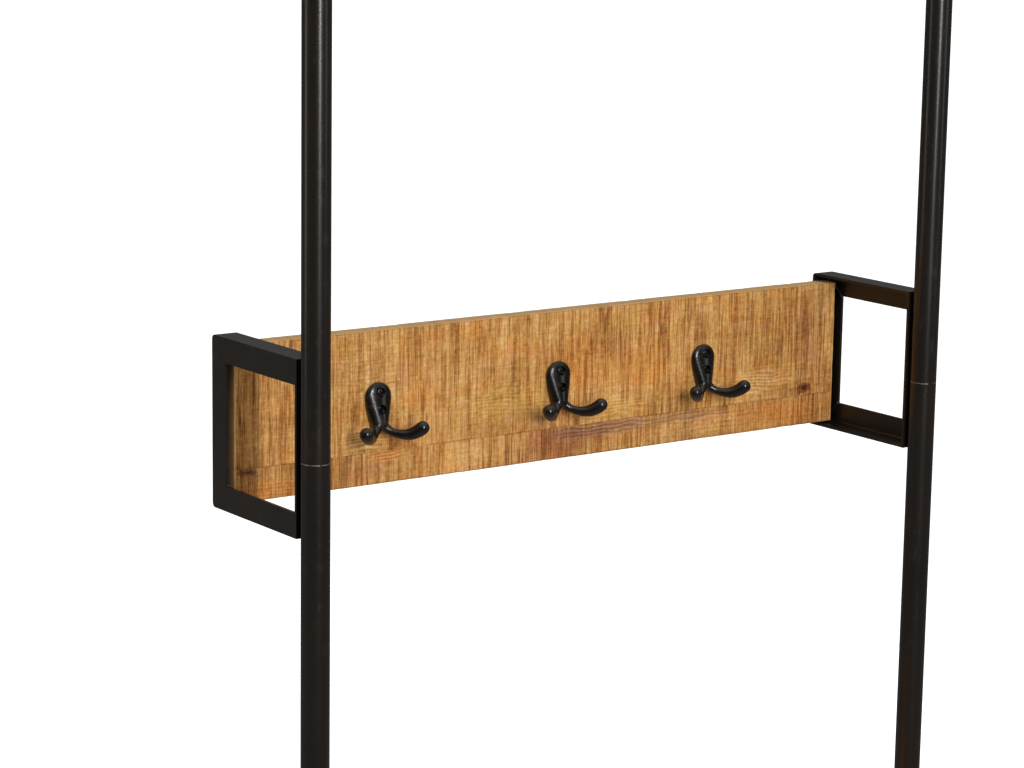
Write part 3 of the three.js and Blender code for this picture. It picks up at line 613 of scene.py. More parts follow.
def slab(work: bmesh.types.BMesh, low: Vector, high: Vector) -> list[bmesh.types.BMVert]:
    """Adds a flat bar or plate between two corners, given in any order."""
    cube = bmesh.ops.create_cube(work, size=1.0)["verts"]
    bmesh.ops.scale(work, verts=cube, vec=[abs(b - a) for a, b in zip(low, high)])
    bmesh.ops.translate(work, verts=cube, vec=(low + high) / 2)
    return cube


def turned(profile: Sequence[tuple[float, float]], steps: int) -> bmesh.types.BMesh:
    """A solid of revolution about +Z.

    Args:
        profile: Radius and height of each point, from the axis to the axis.
        steps: Facets all round.

    Returns:
        The closed mesh.
    """
    work = bmesh.new()
    points = [work.verts.new((radius, 0.0, height)) for radius, height in profile]
    line = [work.edges.new(pair) for pair in zip(points, points[1:])]
    geometry = points + line
    bmesh.ops.spin(work, geom=geometry, axis=Z, angle=math.tau, steps=steps, use_merge=True)
    bmesh.ops.remove_doubles(work, verts=work.verts, dist=1e-6)
    bmesh.ops.recalc_face_normals(work, faces=work.faces)
    return work


class TubeRun:
    """A tube drawn out of one ring, straight on or round a bend."""

    def __init__(self, centre: Vector, radius: float, facets: int) -> None:
        """Starts with a level ring.

        Args:
            centre: The ring's centre.
            radius: The tube's outer radius.
            facets: Facets round the tube.
        """
        self.work = bmesh.new()
        place = Matrix.Translation(centre)
        ring = bmesh.ops.create_circle(self.work, cap_ends=False, radius=radius, segments=facets, matrix=place)
        self.ring = list({edge for vert in ring["verts"] for edge in vert.link_edges})

    def straight(self, offset: Vector) -> None:
        """Draws the tube on by an offset."""
        made = bmesh.ops.extrude_edge_only(self.work, edges=self.ring)["geom"]
        bmesh.ops.translate(self.work, verts=verts_of(made), vec=offset)
        self.ring = edges_of(made)

    def bend(self, centre: Vector, axis: Vector, angle: float, steps: int) -> None:
        """Draws the tube round an axis through a centre."""
        geometry = list({vert for edge in self.ring for vert in edge.verts}) + self.ring
        made = bmesh.ops.spin(self.work, geom=geometry, cent=centre, axis=axis, angle=angle, steps=steps)
        self.ring = edges_of(made["geom_last"])

    def to_station(self, move: Matrix) -> None:
        """Draws the tube on and transforms its new ring."""
        made = bmesh.ops.extrude_edge_only(self.work, edges=self.ring)["geom"]
        bmesh.ops.transform(self.work, matrix=move, verts=verts_of(made))
        self.ring = edges_of(made)

    def close(self) -> None:
        """Closes every open rim with a flat face."""
        rims = [edge for edge in self.work.edges if edge.is_boundary]
        bmesh.ops.holes_fill(self.work, edges=rims, sides=0)
        bmesh.ops.recalc_face_normals(self.work, faces=self.work.faces)


def add(work: bmesh.types.BMesh, other: bmesh.types.BMesh) -> None:
    """Adds another mesh to this one and frees it."""
    spare = bpy.data.meshes.new("spare")
    other.to_mesh(spare)
    other.free()
    work.from_mesh(spare)
    bpy.data.meshes.remove(spare)


def settled(work: bmesh.types.BMesh, modify: Callable[[bpy.types.Object], None]) -> bmesh.types.BMesh:
    """The mesh after modifiers.

    Args:
        work: The mesh, which is freed.
        modify: Adds the modifiers to an object that holds it.

    Returns:
        A new mesh with the modifiers applied.
    """
    holder = bpy.data.objects.new("holder", bpy.data.meshes.new("holder"))
    work.to_mesh(holder.data)
    work.free()
    bpy.context.scene.collection.objects.link(holder)
    modify(holder)
    bpy.context.view_layer.update()
    shaped = holder.evaluated_get(bpy.context.evaluated_depsgraph_get())
    result = bmesh.new()
    result.from_mesh(shaped.data)
    bare = holder.data
    bpy.data.objects.remove(holder)
    bpy.data.meshes.remove(bare)
    return result


def carved(work: bmesh.types.BMesh, cutter: bmesh.types.BMesh) -> bmesh.types.BMesh:
    """The mesh less a cutter; both are freed."""
    knife = bpy.data.objects.new("knife", bpy.data.meshes.new("knife"))
    cutter.to_mesh(knife.data)
    cutter.free()
    bpy.context.scene.collection.objects.link(knife)

    def subtract(holder: bpy.types.Object) -> None:
        """Adds the boolean."""
        cut = holder.modifiers.new("cut", "BOOLEAN")
        cut.operation = "DIFFERENCE"
        cut.solver = "EXACT"
        cut.object = knife

    result = settled(work, subtract)
    bare = knife.data
    bpy.data.objects.remove(knife)
    bpy.data.meshes.remove(bare)
    return result


class Finishing(Enum):
    """How a piece's edges are finished."""

    SMOOTH = "smooth"
    EASED = "eased"
    TUBE = "tube"


@dataclass
class Maker:
    """Turns meshes into pieces of the hall tree, each with its finish and its CAD nodes."""

    made: int = 0
    materials: dict[str, bpy.types.Material] = field(default_factory=dict)

    def material(self, finish: object) -> bpy.types.Material:
        """The material of a finish, built once."""
        if finish.name not in self.materials:
            self.materials[finish.name] = finish.material()
        return self.materials[finish.name]

    def keep(
        self,
        name: str,
        work: bmesh.types.BMesh,
        finish: object,
        nodes: Sequence[str],
        finishing: Finishing = Finishing.SMOOTH,
        ease: float = 0.5 * MM,
    ) -> bpy.types.Object:
        """Keeps a mesh as a piece.

        Args:
            name: The piece's name.
            work: Its mesh, which is freed.
            finish: Its finish.
            nodes: The CAD nodes that it stands for.
            finishing: How its edges are finished.
            ease: Radius of its eased edges, or a tube's wall.

        Returns:
            The piece.
        """
        mesh = bpy.data.meshes.new(name)
        work.to_mesh(mesh)
        work.free()
        mesh.shade_smooth()
        mesh.materials.append(self.material(finish))
        piece = bpy.data.objects.new(name, mesh)
        bpy.context.scene.collection.objects.link(piece)
        if finishing is Finishing.TUBE:
            wall = piece.modifiers.new("wall", "SOLIDIFY")
            wall.thickness = ease
            wall.offset = -1.0
            self._ease(piece, 0.3 * MM)
        elif finishing is Finishing.EASED:
            self._ease(piece, ease)
        else:
            mesh.set_sharp_from_angle(angle=math.radians(38))
        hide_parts(*nodes)
        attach(piece, BODY)
        self.made += 1
        LOG.info("%s: %d faces, for %s", name, len(mesh.polygons), ", ".join(nodes))
        return piece

    @staticmethod
    def _ease(piece: bpy.types.Object, width: float) -> None:
        """Rounds a piece's sharp edges and keeps its flat faces flat."""
        bevel = piece.modifiers.new("ease", "BEVEL")
        bevel.width = width
        bevel.segments = 3
        bevel.limit_method = "ANGLE"
        bevel.angle_limit = math.radians(40)
        weighted = piece.modifiers.new("weighted", "WEIGHTED_NORMAL")
        weighted.keep_sharp = True

    def dress(self, node: str, finish: object) -> None:
        """Gives a carried-over CAD node its finish."""
        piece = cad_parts[node]
        piece.data.materials.clear()
        piece.data.materials.append(self.material(finish))
        LOG.info("%s: carried over", node)


# ---- Steelwork -------------------------------------------------------------------------------------


@dataclass
class AngleIron:
    """Angle iron and flat bar, and the weld beads that join them."""

    leg: float = 25 * MM
    thickness: float = 3 * MM
    fillet: float = 2 * MM
    bead_radius: float = 2.1 * MM
    bead_step: float = 1.7 * MM

    def bar(
        self, work: bmesh.types.BMesh, corner: Vector, along: Vector, length: float, first: Vector, second: Vector
    ) -> None:
        """Adds one bar.

        Args:
            work: The mesh to add it to.
            corner: Where its outer corner starts.
            along: Which way it runs.
            length: How far.
            first: The direction of one flange.
            second: The direction of the other.
        """
        bar = bmesh.new()
        outline = (
            (0.0, 0.0),
            (self.leg, 0.0),
            (self.leg, self.thickness),
            (self.thickness, self.thickness),
            (self.thickness, self.leg),
            (0.0, self.leg),
        )
        points = [bar.verts.new(corner + first * a + second * b) for a, b in outline]
        section = bar.faces.new(points)
        made = bmesh.ops.extrude_face_region(bar, geom=[section])["geom"]
        bmesh.ops.translate(bar, verts=verts_of(made), vec=along * length)
        bmesh.ops.recalc_face_normals(bar, faces=bar.faces)
        root = corner + (first + second) * self.thickness
        lengthwise = [e for e in bar.edges if abs((e.verts[0].co - e.verts[1].co).dot(along)) > length * 0.5]
        inner = [e for e in lengthwise if (e.verts[0].co - root).cross(along).length < 1e-5]
        rounded(bar, inner, self.fillet, 4)
        add(work, bar)

    def weld(self, work: bmesh.types.BMesh, start: Vector, end: Vector, seed: float = 0.0) -> None:
        """Lays a rippled bead from one point to another."""
        run = end - start
        count = max(3, round(run.length / self.bead_step))
        for index in range(count + 1):
            wobble = noise.noise(Vector((index * 0.9, seed, start.z * 40)))
            place = Matrix.Translation(start + run * (index / count))
            size = self.bead_radius * (1.0 + 0.16 * wobble)
            bmesh.ops.create_icosphere(work, subdivisions=2, radius=size, matrix=place)


@dataclass
class Posts:
    """The two posts: a bent hoop above, a straight tube below, joined over a spigot at a seam."""

    maker: Maker
    radius: float = 14 * MM
    wall: float = 1.5 * MM
    bend_radius: float = 70 * MM
    facets: int = 96
    bend_steps: int = 36

    @cached_property
    def seam(self) -> float:
        """Height of the seam."""
        return (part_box("upper_hoop")[0].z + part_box("lower_post_left")[1].z) / 2

    @cached_property
    def coat(self) -> PowderCoat:
        """The posts' coat, rubbed bare on the two rims at the seam."""
        return PowderCoat(name="black_powder_coat_posts", roughness=0.27, rubbed_at=self.seam, peel=0.14)

    def build_hoop(self) -> None:
        """Draws the hoop from its left rim up, over and down."""
        low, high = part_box("upper_hoop")
        half = high.x - self.radius
        run = TubeRun(Vector((-half, 0.0, low.z)), self.radius, self.facets)
        bend_height = high.z - self.radius - self.bend_radius
        rise = bend_height - low.z
        inset = half - self.bend_radius
        run.straight(Z * rise)
        run.bend(Vector((-inset, 0.0, bend_height)), Y, math.pi / 2, self.bend_steps)
        run.straight(X * 2 * inset)
        run.bend(Vector((inset, 0.0, bend_height)), Y, math.pi / 2, self.bend_steps)
        run.straight(-Z * rise)
        bmesh.ops.recalc_face_normals(run.work, faces=run.work.faces)
        self.maker.keep("hoop_tube", run.work, self.coat, ["upper_hoop"], Finishing.TUBE, self.wall)

    def build_lower(self, word: str) -> None:
        """Draws one lower post."""
        low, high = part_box(f"lower_post_{word}")
        centre = Vector(((low.x + high.x) / 2, 0.0, low.z))
        run = TubeRun(centre, self.radius, self.facets)
        run.straight(Z * (high.z - low.z))
        bmesh.ops.recalc_face_normals(run.work, faces=run.work.faces)
        name = f"post_tube_{word}"
        self.maker.keep(name, run.work, self.coat, [f"lower_post_{word}"], Finishing.TUBE, self.wall)

    def build_glide(self, word: str) -> None:
        """Turns the glide plugged into a post's foot."""
        low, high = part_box(f"post_glide_{word}")
        foot = 6 * MM
        stem = self.radius - self.wall - GAP
        profile = [
            (0.0, 0.0),
            (self.radius - 1.6 * MM, 0.0),
            (self.radius - 0.5 * MM, 0.5 * MM),
            (self.radius, 1.6 * MM),
            (self.radius, foot - 0.4 * MM),
            (self.radius - 0.4 * MM, foot),
            (stem, foot),
        ]
        for rib in range(4):
            base = foot + (2.0 + 3.6 * rib) * MM
            profile += [(stem - 0.9 * MM, base), (stem, base + 1.4 * MM), (stem - 0.9 * MM, base + 1.8 * MM)]
        profile += [(stem - 1.2 * MM, high.z), (0.0, high.z)]
        work = turned(profile, 48)
        bmesh.ops.translate(work, verts=work.verts, vec=((low.x + high.x) / 2, 0.0, 0.0))
        self.maker.keep(f"post_foot_{word}", work, MouldedPlastic(), [f"post_glide_{word}"])

    def build(self) -> None:
        """Builds the posts."""
        self.build_hoop()
        for word in SIDES:
            self.build_lower(word)
            self.build_glide(word)
            self.maker.dress(f"post_spigot_{word}", ZincPlate())


@dataclass
class Brackets:
    """The welded brackets behind the posts: angle iron round three sides and a plate on the post's side."""

    maker: Maker
    iron: AngleIron = field(default_factory=AngleIron)
    corner_radius: float = 4.5 * MM
    coat: PowderCoat = PowderCoat()

    def _sweep(self, low: Vector, high: Vector, side: int) -> bmesh.types.BMesh:
        """The three mitred bars as one sweep.

        Args:
            low: The bracket's lowest corner.
            high: Its highest corner.
            side: -1 on the left, 1 on the right.

        Returns:
            The mesh, open at neither end.
        """
        leg, thick = self.iron.leg, self.iron.thickness
        outer = high.x if side > 0 else low.x
        section = ((0.0, 0.0), (leg, 0.0), (leg, thick), (thick, thick), (thick, leg), (0.0, leg))
        front = low.y + thick
        stations = (
            lambda inward: (front, low.z + inward),
            lambda inward: (high.y - inward, low.z + inward),
            lambda inward: (high.y - inward, high.z - inward),
            lambda inward: (front, high.z - inward),
        )
        work = bmesh.new()
        ring = []
        for inboard, inward in section:
            place_y, place_z = stations[0](inward)
            ring.append(work.verts.new((outer - side * inboard, place_y, place_z)))
        face = work.faces.new(ring)
        mitres = []
        for index, after in enumerate(stations[1:]):
            made = bmesh.ops.extrude_face_region(work, geom=[face])["geom"]
            if index:
                mitres.append(face)
            face = next(item for item in made if isinstance(item, bmesh.types.BMFace))
            for vert in face.verts:
                at_top = index == len(stations) - 2
                vert.co.y, vert.co.z = after(high.z - vert.co.z if at_top else vert.co.z - low.z)
        bmesh.ops.delete(work, geom=mitres, context="FACES_ONLY")
        bmesh.ops.recalc_face_normals(work, faces=work.faces)
        root = [e for e in work.edges if self._is_root(e, outer, side, low, high)]
        rounded(work, root, self.iron.fillet, 4)
        return work

    def _is_root(self, edge: bmesh.types.BMEdge, outer: float, side: int, low: Vector, high: Vector) -> bool:
        """Whether an edge lies in the inner corner of the angle."""
        thick = self.iron.thickness
        for vert in edge.verts:
            inboard = side * (outer - vert.co.x)
            inward = min(vert.co.z - low.z, high.z - vert.co.z, high.y - vert.co.y)
            if abs(inboard - thick) > 1e-5 or abs(inward - thick) > 1e-5:
                return False
        return edge.calc_length() > 4 * thick

    def _corners(self, work: bmesh.types.BMesh, low: Vector, high: Vector) -> None:
        """Rounds the two rear corners of the loop, where the welds were ground."""
        picked = []
        for edge in work.edges:
            middle = (edge.verts[0].co + edge.verts[1].co) / 2
            across = abs(edge.verts[0].co.x - edge.verts[1].co.x) > self.iron.leg * 0.8
            at_rear = abs(middle.y - high.y) < 1e-5
            at_end = min(abs(middle.z - low.z), abs(middle.z - high.z)) < 1e-5
            if across and at_rear and at_end:
                picked.append(edge)
        rounded(work, picked, self.corner_radius, 5, clamped=False)

    def build(self, word: str) -> None:
        """Builds one bracket."""
        side = SIDES[word]
        low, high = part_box(f"bracket_{word}")
        outer, inner = (high.x, low.x) if side > 0 else (low.x, high.x)
        leg, thick = self.iron.leg, self.iron.thickness
        work = self._sweep(low, high, side)
        self._corners(work, low, high)
        plate = bmesh.new()
        slab(plate, Vector((outer, low.y, low.z)), Vector((inner, low.y + thick, high.z)))
        add(work, plate)
        back = low.y + thick
        for level, inward in ((low.z, 1), (high.z, -1)):
            ledge = level + inward * thick
            start = Vector((outer - side * (thick + 3 * MM), back, ledge))
            end = Vector((inner + side * 2 * MM, back, ledge))
            self.iron.weld(work, start, end, level)
            side_start = Vector((outer - side * thick, back, ledge + inward * 2 * MM))
            side_end = Vector((outer - side * thick, back, level + inward * (leg - 1 * MM)))
            self.iron.weld(work, side_start, side_end, level + 5)
            mitre_start = Vector((outer - side * thick, high.y - leg, level + inward * leg))
            mitre_end = Vector((outer - side * thick, high.y - thick - 1 * MM, ledge + inward * 1 * MM))
            self.iron.weld(work, mitre_start, mitre_end, level + 9)
        self.maker.keep(
            f"bracket_frame_{word}", work, self.coat, [f"bracket_{word}"], Finishing.EASED, 0.7 * MM
        )


# ---- Fasteners -------------------------------------------------------------------------------------


@dataclass
class Fasteners:
    """Socket-head bolts and cross-recess screws."""

    maker: Maker
    bolt_head: float = 11 * MM
    bolt_head_height: float = 3.3 * MM
    bolt_shank: float = 6 * MM
    socket: float = 4.6 * MM
    screw_head: float = 7.2 * MM
    screw_head_height: float = 2.1 * MM
    screw_shank: float = 3.6 * MM
    facets: int = 40

    @staticmethod
    def _threaded(radius: float, length: float, pitch: float, depth: float, tip: float) -> list[tuple[float, float]]:
        """Outline of a threaded shank from its end to the head's bearing face.

        Args:
            radius: Outer radius of the thread.
            length: Length of the shank.
            pitch: From one thread to the next.
            depth: Depth of the thread.
            tip: Length of the point or chamfer at the end.

        Returns:
            Radius and height of each point, from the end up.
        """
        outline = [(0.0, -length)]
        if tip < radius:
            outline.append((radius - tip, -length))
        threads = int((length - tip - 2 * pitch) / pitch)
        for index in range(threads):
            base = -length + tip + index * pitch
            outline += [(radius - depth, base), (radius, base + pitch / 2)]
        outline += [(radius - depth, -2 * pitch), (radius - depth / 2, -pitch), (radius - depth / 2, 0.0)]
        return outline

    def bolt(self, length: float) -> bmesh.types.BMesh:
        """A button-head bolt with its bearing face at the origin and its shank towards -Z."""
        head, height = self.bolt_head / 2, self.bolt_head_height
        outline = self._threaded(self.bolt_shank / 2, length, 1 * MM, 0.35 * MM, 0.5 * MM)
        outline += [(head - 0.3 * MM, 0.0), (head, 0.3 * MM), (head, 0.8 * MM)]
        crown = 0.5 * head
        for step in range(1, 9):
            angle = math.pi / 2 * step / 9
            outline.append((crown + (head - crown) * math.cos(angle), 0.8 * MM + (height - 0.8 * MM) * math.sin(angle)))
        outline += [(crown, height), (0.0, height)]
        cutter = bmesh.new()
        place = Matrix.Translation((0.0, 0.0, height + 1 * MM)) @ Matrix.Rotation(math.radians(15), 4, "Z")
        radius = self.socket / 2
        bmesh.ops.create_cone(
            cutter, cap_ends=True, segments=6, radius1=radius, radius2=radius, depth=6 * MM, matrix=place
        )
        return carved(turned(outline, self.facets), cutter)

    def screw(self, length: float) -> bmesh.types.BMesh:
        """A pan-head wood screw with a cross recess, placed as a bolt is."""
        head, height = self.screw_head / 2, self.screw_head_height
        outline = self._threaded(self.screw_shank / 2, length, 1.5 * MM, 0.45 * MM, 3 * MM)
        outline += [(head - 0.2 * MM, 0.0), (head, 0.25 * MM), (head, 0.6 * MM)]
        for step in range(1, 9):
            angle = math.pi / 2 * step / 9
            outline.append((head * math.cos(angle), 0.6 * MM + (height - 0.6 * MM) * math.sin(angle)))
        outline.append((0.0, height))
        cutter = bmesh.new()
        for turn in (0.0, math.pi / 2):
            blade = bmesh.ops.create_cube(cutter, size=1.0)["verts"]
            bmesh.ops.scale(cutter, verts=blade, vec=(4.0 * MM, 0.95 * MM, 2.6 * MM))
            floor = [vert for vert in blade if vert.co.z < 0]
            bmesh.ops.scale(cutter, verts=floor, vec=(0.35, 0.8, 1.0))
            bmesh.ops.translate(cutter, verts=blade, vec=(0.0, 0.0, height))
            bmesh.ops.rotate(cutter, verts=blade, matrix=Matrix.Rotation(turn + 0.4, 3, "Z"))
        first = bmesh.new()
        second = bmesh.new()
        cutter.faces.ensure_lookup_table()
        for target, keep_first in ((first, True), (second, False)):
            target_mesh = cutter.copy()
            islands = list(target_mesh.verts)
            spare = islands[8:] if keep_first else islands[:8]
            bmesh.ops.delete(target_mesh, geom=spare, context="VERTS")
            add(target, target_mesh)
        cutter.free()
        return carved(carved(turned(outline, self.facets), first), second)

    def place(self, node: str, work: bmesh.types.BMesh, head: Vector, head_height: float) -> None:
        """Puts a fastener where its node is.

        Args:
            node: The CAD node.
            work: The fastener along +Z.
            head: The way that its head faces.
            head_height: From the bearing face to the head's top.
        """
        low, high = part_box(node)
        point = (low + high) / 2
        for axis in range(3):
            if head[axis]:
                top = high[axis] if head[axis] > 0 else low[axis]
                point[axis] = top - head[axis] * head_height
        turn = Z.rotation_difference(head).to_matrix().to_4x4()
        bmesh.ops.transform(work, matrix=Matrix.Translation(point) @ turn, verts=work.verts)
        self.maker.keep(f"{node}_steel", work, BlackenedSteel(), [node])

    def _length(self, node: str, head: Vector, head_height: float) -> float:
        """Length of a node's shank."""
        low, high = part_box(node)
        return abs((high - low).dot(head)) - head_height

    def build(self) -> None:
        """Builds every fastener."""
        bolts: dict[str, Vector] = {}
        screws: dict[str, Vector] = {}
        for word, side in SIDES.items():
            for level in ("upper", "lower"):
                bolts[f"bracket_bolt_{word}_{level}"] = Y
                bolts[f"post_bolt_{word}_{level}"] = -side * X
                screws[f"board_screw_{word}_{level}"] = Y
            for end_word, end in ENDS.items():
                for level in LEVELS:
                    bolts[f"{level}_rail_bolt_{end_word}_{word}"] = end * Y
        for place in ("left", "middle", "right"):
            for level in ("upper", "lower"):
                screws[f"hook_{place}_screw_{level}"] = -Y
        for make, height, group in (
            (self.bolt, self.bolt_head_height, bolts),
            (self.screw, self.screw_head_height, screws),
        ):
            patterns: dict[float, bmesh.types.BMesh] = {}
            for node, head in group.items():
                length = round(self._length(node, head, height), 5)
                if length not in patterns:
                    patterns[length] = make(length)
                self.place(node, patterns[length].copy(), head, height)
            for pattern in patterns.values():
                pattern.free()


# ---- Hooks -----------------------------------------------------------------------------------------


@dataclass
class Hooks:
    """Cast double hooks: an egg-shaped back plate and two arms that thicken to a ball."""

    maker: Maker
    plate_top: float = 9.8  # above the upper screw; the hook's own sizes are in millimetres
    screw_seat: float = 4.6  # from the board to the screw heads
    screw_spacing: float = 17.0
    recess_radius: float = 4.3
    root_forward: float = 4.0
    splay: float = 49.0
    body: tuple[tuple[float, float, float, float, float], ...] = (  # drop, forward, half width, depth, height
        (5.6, 2.4, 15.4, 5.8, 15.4),
        (13.5, 3.0, 14.2, 6.7, 14.0),
        (21.0, 3.8, 12.2, 7.2, 10.6),
        (27.0, 4.8, 10.8, 7.4, 8.6),
        (33.0, 6.0, 9.0, 7.2, 7.6),
    )
    arm_route: tuple[tuple[float, float, float], ...] = (  # outwards, upwards and the arm's radius
        (0.0, -31.0, 5.8),
        (6.8, -36.6, 4.9),
        (15.0, -41.0, 4.3),
        (24.5, -42.8, 5.2),
        (33.0, -41.8, 6.3),
        (40.5, -38.2, 7.0),
        (44.4, -35.2, 7.1),
    )
    voxel: float = 0.55
    smoothing: int = 14

    def _body(self) -> bmesh.types.BMesh:
        """The plate and the neck: the hull of the five egg shapes in body, leaning forwards towards the fork."""
        work = bmesh.new()
        for drop, forward, *radii in self.body:
            place = Matrix.Translation((0.0, -forward, -drop)) @ Matrix.Diagonal((*radii, 1.0))
            bmesh.ops.create_uvsphere(work, u_segments=48, v_segments=32, radius=1.0, matrix=place)
        return self._hulled(work)

    @staticmethod
    def _hulled(work: bmesh.types.BMesh) -> bmesh.types.BMesh:
        """The convex hull of what the mesh holds, without what it encloses."""
        hull = bmesh.ops.convex_hull(work, input=work.verts)
        inside = set(hull["geom_interior"]) | set(hull["geom_unused"])
        bmesh.ops.delete(work, geom=[item for item in inside if isinstance(item, bmesh.types.BMVert)], context="VERTS")
        outer = {item for item in hull["geom"] if isinstance(item, bmesh.types.BMFace)}
        spare = [face for face in work.faces if face not in outer]
        bmesh.ops.delete(work, geom=spare, context="FACES")
        bmesh.ops.recalc_face_normals(work, faces=work.faces)
        return work

    def _route(self, steps: int) -> list[Vector]:
        """Points along the arm, with its radius, on a smooth curve through the route."""
        knots = [Vector(knot) for knot in self.arm_route]
        padded = [2 * knots[0] - knots[1], *knots, 2 * knots[-1] - knots[-2]]
        points = []
        for index in range(len(knots) - 1):
            a, b, c, d = padded[index : index + 4]
            for step in range(steps):
                t = step / steps
                curve = 2 * b + (c - a) * t + (2 * a - 5 * b + 4 * c - d) * t**2 + (3 * b - a - 3 * c + d) * t**3
                points.append(curve / 2)
        points.append(knots[-1])
        return points

    def _arm(self, side: int) -> bmesh.types.BMesh:
        """One arm, drawn along its route and closed with a ball."""
        points = self._route(8)
        splay = math.radians(self.splay)
        across = Vector((side * math.sin(splay), -math.cos(splay), 0.0))
        places = [across * p.x + Z * p.y - Y * self.root_forward for p in points]
        run = TubeRun(Vector((0.0, 0.0, 0.0)), 1.0, 32)
        before = Matrix.Identity(4)
        for index, place in enumerate(places):
            ahead = places[min(index + 1, len(places) - 1)] - places[max(index - 1, 0)]
            turn = Z.rotation_difference(ahead.normalized()).to_matrix().to_4x4()
            now = Matrix.Translation(place) @ turn @ Matrix.Scale(points[index].z, 4)
            if index == 0:
                bmesh.ops.transform(run.work, matrix=now, verts=run.work.verts)
            else:
                run.to_station(now @ before.inverted())
            before = now
        run.close()
        ball = Matrix.Translation(places[-1])
        bmesh.ops.create_uvsphere(run.work, u_segments=32, v_segments=20, radius=points[-1].z, matrix=ball)
        return run.work

    def _fused(self, work: bmesh.types.BMesh) -> bmesh.types.BMesh:
        """Joins overlapping bodies into one skin, as they are cast."""

        def remesh(holder: bpy.types.Object) -> None:
            """Adds the remesh."""
            fuse = holder.modifiers.new("fuse", "REMESH")
            fuse.mode = "VOXEL"
            fuse.voxel_size = self.voxel
            fuse.adaptivity = 0.0

        return settled(work, remesh)

    def casting(self) -> bmesh.types.BMesh:
        """The whole casting in millimetres, its back at y = 0 and its upper screw at the origin."""
        work = self._body()
        for side in (-1, 1):
            add(work, self._arm(side))
        work = self._fused(work)
        for _ in range(self.smoothing):
            bmesh.ops.smooth_vert(work, verts=work.verts, factor=0.5, use_axis_x=True, use_axis_y=True, use_axis_z=True)
        cutter = bmesh.new()
        for drop in (0.0, -self.screw_spacing):
            depth = 12.0
            middle = Vector((0.0, -self.screw_seat - depth / 2, drop))
            place = Matrix.Translation(middle) @ Matrix.Rotation(math.radians(90), 4, "X")
            bmesh.ops.create_cone(
                cutter,
                cap_ends=True,
                segments=48,
                radius1=self.recess_radius + 1.2,
                radius2=self.recess_radius - 0.25,
                depth=depth,
                matrix=place,
            )
        bmesh.ops.recalc_face_normals(cutter, faces=cutter.faces)
        work = carved(work, cutter)
        rear = bmesh.ops.bisect_plane(
            work, geom=list(work.verts) + list(work.edges) + list(work.faces), plane_co=(0, 0, 0), plane_no=Y, clear_outer=True
        )
        rims = [edge for edge in edges_of(rear["geom_cut"]) if edge.is_boundary]
        bmesh.ops.holes_fill(work, edges=rims, sides=0)
        bmesh.ops.recalc_face_normals(work, faces=work.faces)
        return work

    def build(self) -> None:
        """Builds the three hooks."""
        pattern = self.casting()
        bmesh.ops.scale(pattern, verts=pattern.verts, vec=(MM, MM, MM))
        for word in ("left", "middle", "right"):
            low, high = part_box(f"hook_{word}")
            work = pattern.copy()
            place = Vector(((low.x + high.x) / 2, high.y, high.z - self.plate_top * MM))
            bmesh.ops.translate(work, verts=work.verts, vec=place)
            self.maker.keep(f"hook_casting_{word}", work, CastLacquer(), [f"hook_{word}"])
        pattern.free()


# ---- Woodwork --------------------------------------------------------------------------------------


